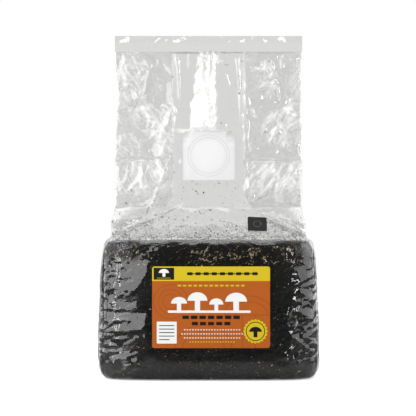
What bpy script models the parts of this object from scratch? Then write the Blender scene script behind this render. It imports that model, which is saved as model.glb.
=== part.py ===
"""A filled and sealed mushroom grow bag: a clear gusseted film bag round a block of dark substrate.

Units are metres and +Z is up. The origin is the middle of the base, and the labelled front faces -Y.
The film is one tube with two folded side gussets. It stands open round the block, folds in over the
block's top and closes flat at the heat seal.
"""

import math

import bmesh
import bpy
from mathutils import Matrix, Vector, noise
from mathutils.bvhtree import BVHTree

# Film tube, flat as it is sold
PANEL_WIDTH = 0.2032
GUSSET_WIDTH = 0.127
FILM_THICKNESS = 0.0002
FOLD_WIDTH = 0.0009
FOLD_GAP = 0.0004

# Filled block, measured over the film
BLOCK_HEIGHT = 0.148
BELLY_WIDTH = 0.238
BELLY_DEPTH = 0.117
BELLY_HEIGHT = 0.045
TOP_WIDTH = 0.229
TOP_DEPTH = 0.113
SECTION_POWER = 4.0
BASE_SIDE_ROUND = 0.018
BASE_SIDE_INSET = 0.009
BASE_FRONT_ROUND = 0.026
BASE_FRONT_INSET = 0.015
TOP_ROUND = 0.016
TOP_INSET = 0.0045
LUMP_HEIGHT = 0.0012
LUMP_PITCH = 0.045

# Substrate inside the film
SUBSTRATE_CORNER_INSET = 0.007
CRUST_RELIEF = 0.0016
CRUST_PITCH = 0.022
CRUST_RINGS = 4

# Shoulder over the block, and the folded neck above it
BAG_HEIGHT = 0.3697
SHOULDER_HEIGHT = 0.037
FOLD_LAG = 0.013
NECK_HALF_OPENING = 0.008
NECK_EDGE_OPENING = 0.003
SHOULDER_PANEL_RUN = 0.55
SHOULDER_FOLD_RUN = 0.80
SHOULDER_RISE = 0.35
EAR_BULGE = 0.0085
EAR_SPAN = 0.05

# Heat seal and the loose lip over it
SEAL_BAND = 0.0102
SEAL_THICKNESS = 0.0015
LIP_HEIGHT = 0.0070
LIP_THICKNESS = 0.0008
SEAL_OVERLAP = 0.0020

# Bottom seal, a fin folded flat into the base
FIN_WIDTH = 0.0105
FIN_THICKNESS = 0.0005
FIN_LIFT = 0.00005
FIN_CLEARANCE = 0.0004

# Filter patch, welded inside the front panel by one ring
PATCH_WIDTH = 0.057
PATCH_HEIGHT = 0.053
PATCH_THICKNESS = 0.0004
PATCH_ABOVE_SHOULDER = 0.055
RING_OUTER_RADIUS = 0.0224
RING_INNER_RADIUS = 0.0194
RING_RELIEF = 0.0003
VENT_RADIUS = 0.0165
CURL_START = 0.0070
CURL_INSET = 0.0058
CURL_RADIUS = 0.0025

# Injection port, a rubber pad with a raised target ring
PORT_SIDE = 0.0205
PORT_THICKNESS = 0.0016
PORT_CORNER = 0.0012
PORT_ACROSS = 0.0523
PORT_ABOVE_BLOCK = 0.0215
PORT_LEAN = math.radians(45.0)
TARGET_RADIUS = 0.0040
TARGET_BEAD = 0.0005

# Label on the block's front
LABEL_WIDTH = 0.125
LABEL_HEIGHT = 0.0865
LABEL_THICKNESS = 0.0002
LABEL_CORNER = 0.0025
LABEL_ACROSS = 0.0027
LABEL_BELOW_EDGE = 0.02575

# Room between pieces that touch
CLEARANCE = 0.0003

# Mesh fineness
PANEL_STEPS = 7
GUSSET_STEPS = 5
BASE_RINGS = 4
WALL_RINGS = 3
TOP_RINGS = 3
SHOULDER_RINGS = 5
NECK_RINGS = 5
SECTION_SAMPLES = 80
DRAPE_PITCH = 0.0095
ROUND_STEPS = 48

HALF_PANEL = PANEL_WIDTH / 2
HALF_GUSSET = GUSSET_WIDTH / 2
QUARTER = HALF_PANEL + HALF_GUSSET
FOLD_ACROSS = HALF_PANEL - HALF_GUSSET
SEAL_HALF_OPENING = FOLD_WIDTH + FOLD_GAP / 2
NECK_FRONT_HEIGHT = BLOCK_HEIGHT + SHOULDER_HEIGHT
NECK_FOLD_HEIGHT = NECK_FRONT_HEIGHT + FOLD_LAG
SEAL_HEIGHT = BAG_HEIGHT - LIP_HEIGHT - SEAL_BAND
PATCH_CENTRE_HEIGHT = NECK_FRONT_HEIGHT + PATCH_ABOVE_SHOULDER
PORT_CENTRE_HEIGHT = BLOCK_HEIGHT + PORT_ABOVE_BLOCK
LABEL_CENTRE_HEIGHT = BLOCK_HEIGHT - LABEL_BELOW_EDGE - LABEL_HEIGHT / 2


def clear_scene():
    for old in list(bpy.data.objects):
        bpy.data.objects.remove(old, do_unlink=True)


def make_collection(name):
    made = bpy.data.collections.new(name)
    bpy.context.scene.collection.children.link(made)
    return made


def make_material(name, colour, roughness, alpha=1.0):
    made = bpy.data.materials.new(name)
    made.use_nodes = True
    shader = made.node_tree.nodes["Principled BSDF"]
    shader.inputs["Base Color"].default_value = (*colour, 1.0)
    shader.inputs["Roughness"].default_value = roughness
    shader.inputs["Alpha"].default_value = alpha
    made.diffuse_color = (*colour, alpha)
    return made


def make_object(name, bm, collection, material=None, turn_outwards=True):
    if turn_outwards:
        bmesh.ops.recalc_face_normals(bm, faces=bm.faces)
    mesh = bpy.data.meshes.new(name)
    bm.to_mesh(mesh)
    bm.free()
    made = bpy.data.objects.new(name, mesh)
    collection.objects.link(made)
    if material:
        mesh.materials.append(material)
    return made


def hide_as_cutter(cutter):
    cutter.hide_render = True
    cutter.display_type = "WIRE"
    return cutter


def boolean(target, other, operation):
    modifier = target.modifiers.new(f"{operation.lower()} {other.name}", "BOOLEAN")
    modifier.operation = operation
    modifier.solver = "EXACT"
    modifier.object = other
    return modifier


# Block section


def round_over(distance, height, inset):
    """How far a rounded edge draws in at a distance from its end."""
    if distance >= height:
        return 0.0
    share = 1.0 - max(0.0, distance) / height
    return inset * (1.0 - math.sqrt(1.0 - share * share))


def wall_half(belly, top, base_round, base_inset, z):
    """Half width or half depth of the filled block at a height."""
    up = max(0.0, (z - BELLY_HEIGHT) / (BLOCK_HEIGHT - BELLY_HEIGHT))
    half = (belly + (top - belly) * up) / 2
    half -= round_over(z, base_round, base_inset)
    return half - round_over(BLOCK_HEIGHT - z, TOP_ROUND, TOP_INSET)


def section_quarter(half_width, half_depth, lengths):
    """Points on a superellipse quarter, from the front's middle to the side's middle, by share of its length."""
    power = 2.0 / SECTION_POWER
    line = []
    for i in range(SECTION_SAMPLES + 1):
        angle = math.pi / 2 * i / SECTION_SAMPLES
        x = half_width * math.sin(angle) ** power
        y = -half_depth * max(0.0, math.cos(angle)) ** power
        line.append((x, y))
    run = [0.0]
    for (x0, y0), (x1, y1) in zip(line, line[1:]):
        run.append(run[-1] + math.hypot(x1 - x0, y1 - y0))
    points = []
    for length in lengths:
        wanted = length / QUARTER * run[-1]
        i = next(k for k in range(1, len(run)) if run[k] >= wanted - 1e-12)
        share = (wanted - run[i - 1]) / (run[i] - run[i - 1])
        points.append(
            tuple(a + (b - a) * share for a, b in zip(line[i - 1], line[i]))
        )
    return points


def crowded(count):
    """Shares from 0 to 1 that stand closer together towards 1."""
    even = [k / count for k in range(count + 1)]
    return [(share + math.sin(math.pi / 2 * share)) / 2 for share in even]


def quarter_lengths():
    """Distances along the film from the front's middle to the gusset's fold, closest at the block's corner.

    Each fold has two points.
    """
    front_end = HALF_PANEL - FOLD_WIDTH / 2
    gusset_start = HALF_PANEL + FOLD_WIDTH / 2
    gusset_end = QUARTER - FOLD_GAP / 2
    front = [front_end * share for share in crowded(PANEL_STEPS)]
    side = [
        gusset_end - (gusset_end - gusset_start) * share
        for share in reversed(crowded(GUSSET_STEPS))
    ]
    return front + side


def lump(x, y, z):
    """The packed substrate's low swellings, none at the base and at the block's top edge."""
    fade = min(1.0, z / BASE_FRONT_ROUND, (BLOCK_HEIGHT - z) / TOP_ROUND)
    return LUMP_HEIGHT * max(0.0, fade) * noise.noise(Vector((x, y, z)) / LUMP_PITCH)


def block_ring(z, lengths):
    quarter = section_quarter(
        wall_half(BELLY_WIDTH, TOP_WIDTH, BASE_SIDE_ROUND, BASE_SIDE_INSET, z),
        wall_half(BELLY_DEPTH, TOP_DEPTH, BASE_FRONT_ROUND, BASE_FRONT_INSET, z),
        lengths,
    )
    return [(x, y, z) for x, y in quarter]


def block_levels():
    """Heights of the rings round the block, close together where its edges are rounded."""
    quarter_turn = math.pi / 2
    base_end = max(BASE_FRONT_ROUND, BASE_SIDE_ROUND)
    base = [
        base_end * (1 - math.cos(quarter_turn * k / BASE_RINGS))
        for k in range(BASE_RINGS + 1)
    ]
    top_start = BLOCK_HEIGHT - TOP_ROUND
    step = (top_start - base_end) / (WALL_RINGS + 1)
    wall = [base_end + step * k for k in range(1, WALL_RINGS + 1)]
    top = [
        top_start + TOP_ROUND * math.sin(quarter_turn * k / TOP_RINGS)
        for k in range(TOP_RINGS + 1)
    ]
    return base + wall + top


# Neck section


def neck_point(length, z):
    """A point of the folded neck: the front panel, or the gusset tucked in behind it."""
    down = min(1.0, (SEAL_HEIGHT - z) / (SEAL_HEIGHT - NECK_FRONT_HEIGHT))
    open_share = math.sin(math.pi / 2 * down)
    edge = SEAL_HALF_OPENING + (NECK_EDGE_OPENING - SEAL_HALF_OPENING) * open_share
    middle = SEAL_HALF_OPENING + (NECK_HALF_OPENING - SEAL_HALF_OPENING) * open_share
    if length < HALF_PANEL:
        bulge = math.cos(math.pi / 2 * length / HALF_PANEL) ** 2
        return (length, -(edge + (middle - edge) * bulge), z)
    gusset_start = HALF_PANEL + FOLD_WIDTH / 2
    along = (length - gusset_start) / (QUARTER - FOLD_GAP / 2 - gusset_start)
    x = HALF_PANEL + (FOLD_ACROSS - HALF_PANEL) * along
    behind = edge - FOLD_WIDTH
    return (x, -(behind + (FOLD_GAP / 2 - behind) * along), z)


def neck_base_height(length):
    """The neck starts lower at the panels than at the gusset's fold, which stays behind them on the way."""
    along = max(0.0, (length - HALF_PANEL) / HALF_GUSSET)
    return NECK_FRONT_HEIGHT + (NECK_FOLD_HEIGHT - NECK_FRONT_HEIGHT) * along**2


def neck_ring(share, lengths):
    ring = []
    for length in lengths:
        low = neck_base_height(length)
        ring.append(neck_point(length, low + (SEAL_HEIGHT - low) * share))
    return ring


def shoulder_ring(share, lower, upper, lengths):
    """Film drawn in from the block's edge to the neck, its pressed creases standing out as ears."""
    ring = []
    for low, high, length in zip(lower, upper, lengths):
        low, high = Vector(low), Vector(high)
        along = max(0.0, (length - HALF_PANEL) / HALF_GUSSET)
        run = SHOULDER_PANEL_RUN + (SHOULDER_FOLD_RUN - SHOULDER_PANEL_RUN) * along
        bend = low.lerp(high, run)
        bend.z = low.z + (high.z - low.z) * SHOULDER_RISE
        point = low.lerp(bend, share).lerp(bend.lerp(high, share), share)
        off_crease = min(1.0, abs(length - HALF_PANEL) / EAR_SPAN)
        point.x += EAR_BULGE * math.sin(math.pi * share) * math.cos(math.pi / 2 * off_crease) ** 2
        ring.append(tuple(point))
    return ring


def whole_ring(quarter):
    """One ring round the bag from its right front quarter."""
    right_back = [(x, -y, z) for x, y, z in reversed(quarter)]
    right = list(quarter) + right_back
    left = [(-x, y, z) for x, y, z in reversed(right[1:-1])]
    ring = []
    for x, y, z in right + left:
        reach = math.hypot(x, y) or 1.0
        swell = lump(x, y, z) / reach
        ring.append((x * (1 + swell), y * (1 + swell), z))
    return ring


def block_rings():
    lengths = quarter_lengths()
    return [block_ring(z, lengths) for z in block_levels()]


def film_rings():
    """Rings of the film's outer face, from the base to the heat seal."""
    lengths = quarter_lengths()
    rings = block_rings()
    lower, upper = rings[-1], neck_ring(0.0, lengths)
    for k in range(1, SHOULDER_RINGS):
        rings.append(shoulder_ring(k / SHOULDER_RINGS, lower, upper, lengths))
    for k in range(NECK_RINGS + 1):
        rings.append(neck_ring(k / NECK_RINGS, lengths))
    return rings


# Solids


def bridge(bm, lower, upper):
    for i in range(len(lower)):
        j = (i + 1) % len(lower)
        bm.faces.new((lower[i], lower[j], upper[j], upper[i]))


def loft(rings):
    """A closed body through rings with as many points each."""
    bm = bmesh.new()
    rows = [[bm.verts.new(point) for point in whole_ring(ring)] for ring in rings]
    for lower, upper in zip(rows, rows[1:]):
        bridge(bm, lower, upper)
    bm.faces.new(list(reversed(rows[0])))
    bm.faces.new(rows[-1])
    return bm


def shrink(bm, distance):
    """Moves every face inwards by a distance."""
    bmesh.ops.recalc_face_normals(bm, faces=bm.faces)
    bm.normal_update()
    moves = [
        (v, v.co - v.normal * distance * min(v.calc_shell_factor(), 2.0))
        for v in bm.verts
    ]
    for v, place in moves:
        v.co = place


def box(name, low, high, collection, material=None):
    low, high = Vector(low), Vector(high)
    bm = bmesh.new()
    bmesh.ops.create_cube(bm, size=1.0)
    for v in bm.verts:
        share = v.co + Vector((0.5, 0.5, 0.5))
        v.co = Vector(a + (b - a) * s for a, b, s in zip(low, high, share))
    return make_object(name, bm, collection, material)


def seal_profile():
    """Side view of the heat seal: a fused band, then the thinner lip over it."""
    band = SEAL_THICKNESS / 2
    lip = LIP_THICKNESS / 2
    foot = SEAL_HEIGHT - SEAL_OVERLAP
    waist = SEAL_HEIGHT + SEAL_BAND
    top = waist + LIP_HEIGHT
    right = [(band, foot), (band, waist), (lip, waist + band - lip), (lip, top)]
    return right + [(-y, z) for y, z in reversed(right)]


def make_seal(collection):
    bm = bmesh.new()
    ends = [
        [bm.verts.new((side * HALF_PANEL, y, z)) for y, z in seal_profile()]
        for side in (-1, 1)
    ]
    bm.faces.new(ends[0])
    bm.faces.new(list(reversed(ends[1])))
    for i in range(len(ends[0])):
        j = (i + 1) % len(ends[0])
        bm.faces.new((ends[0][i], ends[1][i], ends[1][j], ends[0][j]))
    return hide_as_cutter(make_object("heat_seal_form", bm, collection))


def fin_channel(name, film_share, extra, collection):
    """The shallow bed that the bottom seal lies in, as a cutter grown by extra film walls and room."""
    grow = FILM_THICKNESS * film_share + extra
    roof = FIN_LIFT + FIN_THICKNESS + FIN_CLEARANCE + grow
    low = (-HALF_PANEL - grow, -grow, -0.002)
    high = (HALF_PANEL + grow, FIN_WIDTH + FIN_CLEARANCE + grow, roof)
    return hide_as_cutter(box(name, low, high, collection))


def make_vent(collection):
    """The round hole in the front panel behind which the filter patch is welded."""
    bm = bmesh.new()
    bmesh.ops.create_cone(
        bm,
        cap_ends=True,
        segments=32,
        radius1=VENT_RADIUS,
        radius2=VENT_RADIUS,
        depth=NECK_HALF_OPENING * 2,
    )
    vent = make_object("vent_cutter", bm, collection)
    vent.rotation_euler = (math.pi / 2, 0.0, 0.0)
    vent.location = (0.0, -NECK_HALF_OPENING, PATCH_CENTRE_HEIGHT)
    return hide_as_cutter(vent)


def make_bag_film(parts, helpers):
    clear = make_material("clear polypropylene film", (0.86, 0.87, 0.86), 0.12, 0.3)
    film = make_object("bag_film", loft(film_rings()), parts, clear)

    cavity_body = loft(film_rings())
    shrink(cavity_body, FILM_THICKNESS)
    cavity = hide_as_cutter(make_object("film_cavity", cavity_body, helpers))
    boolean(cavity, fin_channel("fin_bed_inside", 1, 0.0, helpers), "DIFFERENCE")

    fin = box(
        "bottom_fin_form",
        (-HALF_PANEL, -FILM_THICKNESS, FIN_LIFT),
        (HALF_PANEL, FIN_WIDTH, FIN_LIFT + FIN_THICKNESS),
        helpers,
    )
    boolean(film, make_seal(helpers), "UNION")
    boolean(film, fin_channel("fin_bed", 0, 0.0, helpers), "DIFFERENCE")
    boolean(film, hide_as_cutter(fin), "UNION")
    boolean(film, cavity, "DIFFERENCE")
    boolean(film, make_vent(helpers), "DIFFERENCE")
    return film


def make_substrate(parts, helpers):
    """The block of dark substrate, with a crumbly crust a little below the film's top edge."""
    soil = make_material("dark substrate", (0.018, 0.017, 0.016), 0.95)
    bm = loft(block_rings()[:-1])
    top_face = max(bm.faces, key=lambda face: face.calc_center_median().z)
    outline = list(top_face.verts)
    shrink(bm, FILM_THICKNESS + 2 * CLEARANCE)
    for v in bm.verts:
        v.co.x -= math.copysign(
            round_over(BLOCK_HEIGHT - v.co.z, TOP_ROUND, SUBSTRATE_CORNER_INSET), v.co.x
        )
    bmesh.ops.delete(bm, geom=[top_face], context="FACES_ONLY")

    crust_height = outline[0].co.z + FILM_THICKNESS + CLEARANCE
    edge = [v.co.copy() for v in outline]
    row = outline
    for k in range(1, CRUST_RINGS + 1):
        share = math.cos(math.pi / 2 * k / (CRUST_RINGS + 1))
        inner = []
        for place in edge:
            x, y = place.x * share, place.y * share
            rise = CRUST_RELIEF * noise.noise(Vector((x, y, 0.0)) / CRUST_PITCH)
            inner.append(bm.verts.new((x, y, crust_height + rise)))
        bridge(bm, row, inner)
        row = inner
    middle = bm.verts.new((0.0, 0.0, crust_height))
    for i in range(len(row)):
        bm.faces.new((row[i], row[(i + 1) % len(row)], middle))
    block = make_object("substrate_block", bm, parts, soil)
    bed = fin_channel("fin_bed_block", 1, 2 * CLEARANCE, helpers)
    boolean(block, bed, "DIFFERENCE")
    return block


# Flat pieces laid on the film. Each is drawn flat, with its outer face towards -Y and its back at y = 0.


def flat_plate(name, width, height, thickness, corner, helpers):
    plate = box(
        name,
        (-width / 2, -thickness, -height / 2),
        (width / 2, 0.0, height / 2),
        helpers,
    )
    if corner:
        bm = bmesh.new()
        bm.from_mesh(plate.data)
        upright = [e for e in bm.edges if abs(e.verts[0].co.y - e.verts[1].co.y) > 0]
        bmesh.ops.bevel(
            bm,
            geom=upright,
            offset=corner,
            segments=4,
            profile=0.5,
            affect="EDGES",
        )
        bm.to_mesh(plate.data)
        bm.free()
    return hide_as_cutter(plate)


def flat_ring(name, inner, outer, back, front, helpers):
    """A ring of rectangular section, revolved about the Y axis."""
    bm = bmesh.new()
    profile = [
        bm.verts.new((x, y, 0.0))
        for x, y in ((inner, back), (outer, back), (outer, front), (inner, front))
    ]
    section = [
        bm.edges.new((profile[k], profile[(k + 1) % len(profile)])) for k in range(4)
    ]
    bmesh.ops.spin(
        bm,
        geom=profile + section,
        axis=(0.0, 1.0, 0.0),
        cent=(0.0, 0.0, 0.0),
        angle=2 * math.pi,
        steps=ROUND_STEPS,
        use_merge=True,
    )
    bmesh.ops.remove_doubles(bm, verts=bm.verts, dist=1e-7)
    return hide_as_cutter(make_object(name, bm, helpers))


def cut_across(bm, width, height):
    """Cuts a flat piece into a grid, so that it can follow the film."""
    for normal, size in ((Vector((1, 0, 0)), width), (Vector((0, 0, 1)), height)):
        count = max(2, round(size / DRAPE_PITCH))
        for k in range(1, count):
            geom = bm.verts[:] + bm.edges[:] + bm.faces[:]
            place = normal * (size * k / count - size / 2)
            bmesh.ops.bisect_plane(bm, geom=geom, plane_co=place, plane_no=normal)


def lay_on_film(name, flat, size, frame, gap, film_tree, parts, material, bend=None):
    """Lays a flat piece on the film along its own Y axis, its back a gap away from the film's outer face."""
    bpy.context.view_layer.update()
    built = flat.evaluated_get(bpy.context.evaluated_depsgraph_get())
    bm = bmesh.new()
    bm.from_mesh(built.to_mesh())
    cut_across(bm, *size)
    inwards = (frame.to_3x3() @ Vector((0.0, 1.0, 0.0))).normalized()
    reach = BELLY_DEPTH
    for v in bm.verts:
        across, out, up = v.co
        if bend:
            across, out, up = bend(across, out, up)
        start = frame @ Vector((across, 0.0, up)) - inwards * reach
        hit = film_tree.ray_cast(start, inwards)[0]
        v.co = hit + inwards * (out - gap)
    bmesh.ops.triangulate(bm, faces=bm.faces)
    return make_object(name, bm, parts, material, turn_outwards=False)


def curl(across, out, up):
    """Rolls the filter patch's upper corners back into the bag."""
    rise = max(0.0, (up - CURL_START) / (PATCH_HEIGHT / 2 - CURL_START))
    edge = PATCH_WIDTH / 2 - CURL_INSET * rise
    over = abs(across) - edge
    if over <= 0:
        return across, out, up
    angle = over / CURL_RADIUS
    radius = CURL_RADIUS - out
    rolled = edge + radius * math.sin(angle)
    back = CURL_RADIUS - radius * math.cos(angle)
    return math.copysign(rolled, across), back, up


def make_filter_patch(parts, helpers, film_tree):
    """A square of filter sheet inside the front panel, with the raised ring that is welded to the film."""
    felt = make_material("filter sheet", (0.90, 0.90, 0.90), 0.85)
    sheet = flat_plate(
        "patch_flat", PATCH_WIDTH, PATCH_HEIGHT, PATCH_THICKNESS, 0.0, helpers
    )
    ring = flat_ring(
        "patch_ring",
        RING_INNER_RADIUS,
        RING_OUTER_RADIUS,
        -PATCH_THICKNESS / 2,
        -PATCH_THICKNESS - RING_RELIEF,
        helpers,
    )
    boolean(sheet, ring, "UNION")
    behind = -(FILM_THICKNESS + CLEARANCE + PATCH_THICKNESS + RING_RELIEF)
    place = Matrix.Translation((0.0, 0.0, PATCH_CENTRE_HEIGHT))
    size = (PATCH_WIDTH, PATCH_HEIGHT)
    return lay_on_film(
        "filter_patch", sheet, size, place, behind, film_tree, parts, felt, curl
    )


def make_injection_port(parts, helpers, film_tree):
    """A black rubber pad on the shoulder, with a small raised ring where the needle goes in."""
    rubber = make_material("black rubber", (0.035, 0.033, 0.033), 0.6)
    pad = flat_plate(
        "port_flat", PORT_SIDE, PORT_SIDE, PORT_THICKNESS, PORT_CORNER, helpers
    )
    bead = flat_ring(
        "port_target",
        TARGET_RADIUS - TARGET_BEAD,
        TARGET_RADIUS + TARGET_BEAD,
        -PORT_THICKNESS / 2,
        -PORT_THICKNESS - TARGET_BEAD,
        helpers,
    )
    boolean(pad, bead, "UNION")
    place = Matrix.Translation((PORT_ACROSS, -BELLY_DEPTH / 4, PORT_CENTRE_HEIGHT))
    place = place @ Matrix.Rotation(-PORT_LEAN, 4, "X")
    size = (PORT_SIDE, PORT_SIDE)
    return lay_on_film(
        "injection_port", pad, size, place, CLEARANCE, film_tree, parts, rubber
    )


def make_label(parts, helpers, film_tree):
    paper = make_material("printed label", (0.43, 0.16, 0.035), 0.45)
    sheet = flat_plate(
        "label_flat", LABEL_WIDTH, LABEL_HEIGHT, LABEL_THICKNESS, LABEL_CORNER, helpers
    )
    place = Matrix.Translation((LABEL_ACROSS, 0.0, LABEL_CENTRE_HEIGHT))
    size = (LABEL_WIDTH, LABEL_HEIGHT)
    return lay_on_film("label", sheet, size, place, CLEARANCE, film_tree, parts, paper)


def main():
    clear_scene()
    parts = make_collection("mushroom_grow_bag")
    helpers = make_collection("helpers")
    make_bag_film(parts, helpers)
    make_substrate(parts, helpers)
    film_tree = BVHTree.FromBMesh(loft(film_rings()))
    make_filter_patch(parts, helpers, film_tree)
    make_injection_port(parts, helpers, film_tree)
    make_label(parts, helpers, film_tree)


main()
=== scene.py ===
"""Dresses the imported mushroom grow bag: creased clear film, grainy substrate, printed label and fittings.

The film is one gusseted tube, lofted round the block, drawn in over its top and folded flat up to the
heat seal. Lengths are in metres, +Z is up, and the labelled front faces -Y.
"""

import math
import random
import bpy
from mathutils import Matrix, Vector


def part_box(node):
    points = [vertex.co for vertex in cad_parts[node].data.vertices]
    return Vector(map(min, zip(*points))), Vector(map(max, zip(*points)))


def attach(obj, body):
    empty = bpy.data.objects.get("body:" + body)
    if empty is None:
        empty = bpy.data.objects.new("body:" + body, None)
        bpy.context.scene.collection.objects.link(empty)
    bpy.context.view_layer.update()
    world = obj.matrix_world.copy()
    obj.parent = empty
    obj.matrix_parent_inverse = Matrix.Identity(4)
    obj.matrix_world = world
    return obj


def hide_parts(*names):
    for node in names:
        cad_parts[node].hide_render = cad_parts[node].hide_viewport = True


bl_info = {
    "name": "Mushroom Grow Bag",
    "version": (1, 0, 0),
    "blender": (4, 5, 0),
    "location": "3D View > Sidebar > Grow Bag",
    "description": "Models the film, substrate, label and fittings of a filled grow bag",
    "category": "Object",
}

from itertools import product
from types import SimpleNamespace

import bmesh
import bpy
import numpy as np
from bpy.props import FloatProperty, FloatVectorProperty, IntProperty, PointerProperty
from mathutils import Matrix, Vector, noise
from mathutils.bvhtree import BVHTree

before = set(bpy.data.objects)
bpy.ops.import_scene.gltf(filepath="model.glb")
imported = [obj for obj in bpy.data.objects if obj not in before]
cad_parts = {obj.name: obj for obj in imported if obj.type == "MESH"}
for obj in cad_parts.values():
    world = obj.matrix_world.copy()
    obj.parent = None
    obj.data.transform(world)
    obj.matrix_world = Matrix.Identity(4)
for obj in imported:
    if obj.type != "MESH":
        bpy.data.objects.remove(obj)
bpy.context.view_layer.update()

BLOCK_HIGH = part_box("substrate_block")[1]
FILM_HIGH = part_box("bag_film")[1]
PATCH_LOW, PATCH_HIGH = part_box("filter_patch")
PORT_LOW, PORT_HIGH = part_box("injection_port")
LABEL_LOW, LABEL_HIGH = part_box("label")

SEED = 11
WHITE = (1.0, 1.0, 1.0)


# Sizes and colours


class GrowBagFilmSizes(bpy.types.PropertyGroup):
    """The film tube, as it is folded round the block and up to the seal"""

    panel_width: FloatProperty(
        name="Panel width", description="Front panel, crease to crease", default=0.2032, unit="LENGTH"
    )
    gusset_width: FloatProperty(
        name="Gusset width", description="Side gusset, opened flat", default=0.127, unit="LENGTH"
    )
    fold_width: FloatProperty(
        name="Fold width", description="Outside width of a pressed crease", default=0.0009, unit="LENGTH"
    )
    fold_gap: FloatProperty(
        name="Fold gap", description="Room between the two gussets' backs", default=0.0004, unit="LENGTH"
    )
    block_height: FloatProperty(
        name="Block height", description="Top edge of the filled block", default=0.148, unit="LENGTH"
    )
    belly_width: FloatProperty(
        name="Belly width", description="Block at its widest", default=0.238, unit="LENGTH"
    )
    belly_depth: FloatProperty(
        name="Belly depth", description="Block at its deepest", default=0.117, unit="LENGTH"
    )
    belly_height: FloatProperty(
        name="Belly height", description="Height of the widest line", default=0.045, unit="LENGTH"
    )
    top_width: FloatProperty(
        name="Top width", description="Block's width at its top edge", default=0.229, unit="LENGTH"
    )
    top_depth: FloatProperty(
        name="Top depth", description="Block's depth at its top edge", default=0.113, unit="LENGTH"
    )
    section_power: FloatProperty(
        name="Squareness", description="Power of the rounded oblong section", default=4.0
    )
    shoulder_height: FloatProperty(
        name="Shoulder height", description="From the block's edge to the folded neck",
        default=0.037, unit="LENGTH"
    )
    fold_lag: FloatProperty(
        name="Fold lag", description="How much higher the gusset's fold comes together",
        default=0.013, unit="LENGTH"
    )
    neck_opening: FloatProperty(
        name="Neck opening", description="Half the neck's depth at its middle",
        default=0.008, unit="LENGTH"
    )
    neck_edge: FloatProperty(
        name="Neck edge", description="Half the neck's depth at its creases", default=0.003, unit="LENGTH"
    )
    seal_height: FloatProperty(
        name="Seal height", description="Foot of the heat seal", default=0.3525, unit="LENGTH"
    )
    seal_band: FloatProperty(
        name="Seal band", description="Height of the fused band", default=0.0102, unit="LENGTH"
    )
    seal_thickness: FloatProperty(
        name="Seal thickness", description="Fused band", default=0.0015, unit="LENGTH"
    )


class GrowBagSubstrateSizes(bpy.types.PropertyGroup):
    """Grains, flakes and loose crumbs of the substrate"""

    grain_depth: FloatProperty(
        name="Grain depth", description="Relief of the packed grains", default=0.0009, unit="LENGTH"
    )
    grain_pitch: FloatProperty(
        name="Grain pitch", description="Size of the packed grains", default=0.0028, unit="LENGTH"
    )
    flakes: IntProperty(
        name="Flakes", description="Pale mineral flakes pressed against the film", default=1500
    )
    crust_crumbs: IntProperty(
        name="Crust crumbs", description="Loose crumbs on top of the block", default=1400
    )
    crumbs: IntProperty(
        name="Crumbs", description="Loose crumbs on the film over the block", default=1500
    )


class GrowBagColours(bpy.types.PropertyGroup):
    """Colours of the finished surfaces"""

    substrate: FloatVectorProperty(
        name="Substrate", description="Damp dark substrate",
        subtype="COLOR", size=3, default=(0.005, 0.0047, 0.0043)
    )
    flake: FloatVectorProperty(
        name="Flake", description="Golden mineral flakes",
        subtype="COLOR", size=3, default=(0.53, 0.45, 0.26)
    )
    film: FloatVectorProperty(
        name="Film", description="What one layer of film lets through",
        subtype="COLOR", size=3, default=(0.955, 0.955, 0.95)
    )
    # Creased film's milky white, which also paints sheen and glints on the film and on the seal's lip.
    haze_and_sheen: FloatVectorProperty(
        name="Haze", description="Creased film", subtype="COLOR", size=3, default=(0.88, 0.88, 0.875)
    )
    filter_sheet: FloatVectorProperty(
        name="Filter", description="Filter sheet", subtype="COLOR", size=3, default=(0.715, 0.71, 0.715)
    )
    rubber: FloatVectorProperty(
        name="Port", description="Rubber of the injection port",
        subtype="COLOR", size=3, default=(0.0105, 0.0100, 0.0100)
    )
    label_field: FloatVectorProperty(
        name="Label field", description="Orange ground",
        subtype="COLOR", size=3, default=(0.385, 0.088, 0.006)
    )
    label_pattern: FloatVectorProperty(
        name="Label pattern", description="Darker orange line work",
        subtype="COLOR", size=3, default=(0.29, 0.055, 0.004)
    )
    label_header: FloatVectorProperty(
        name="Label header", description="Yellow band",
        subtype="COLOR", size=3, default=(0.56, 0.42, 0.008)
    )
    label_ink: FloatVectorProperty(
        name="Label ink", description="Black ink", subtype="COLOR", size=3, default=(0.006, 0.006, 0.006)
    )
    label_white: FloatVectorProperty(
        name="Label white", description="Bare paper", subtype="COLOR", size=3, default=(0.72, 0.72, 0.71)
    )


class GrowBagStudio(bpy.types.PropertyGroup):
    """Camera and lamps"""

    camera_distance: FloatProperty(
        name="Distance", description="Camera to the bag", default=2.2, unit="LENGTH"
    )
    camera_elevation: FloatProperty(
        name="Elevation", description="Camera above the level", default=math.radians(1.2), subtype="ANGLE"
    )
    frame_width: FloatProperty(
        name="Frame width", description="What the picture spans at the middle of the bag",
        default=0.4521, unit="LENGTH"
    )
    aim_across: FloatProperty(
        name="Aim across", description="Point aimed at, across", default=-0.0006, unit="LENGTH"
    )
    aim_height: FloatProperty(
        name="Aim height", description="Point aimed at, up", default=0.1830, unit="LENGTH"
    )
    left_power: FloatProperty(name="Left lamp", description="Large soft lamp at the left", default=18.0)
    right_power: FloatProperty(name="Right lamp", description="Soft lamp at the right", default=8.5)
    strip_power: FloatProperty(
        name="Strips", description="Narrow bright lamps that the creases catch", default=4.0
    )
    wrap_power: FloatProperty(
        name="Side lamps", description="Soft lamps beside and behind the bag", default=6.0
    )
    fill_power: FloatProperty(name="Front lamp", description="Soft lamp high in front", default=6.0)
    top_power: FloatProperty(name="Top lamp", description="Soft lamp overhead", default=4.5)


SETTINGS = {
    "grow_bag_film": GrowBagFilmSizes,
    "grow_bag_substrate": GrowBagSubstrateSizes,
    "grow_bag_colours": GrowBagColours,
    "grow_bag_studio": GrowBagStudio,
}


# Node helpers


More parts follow.
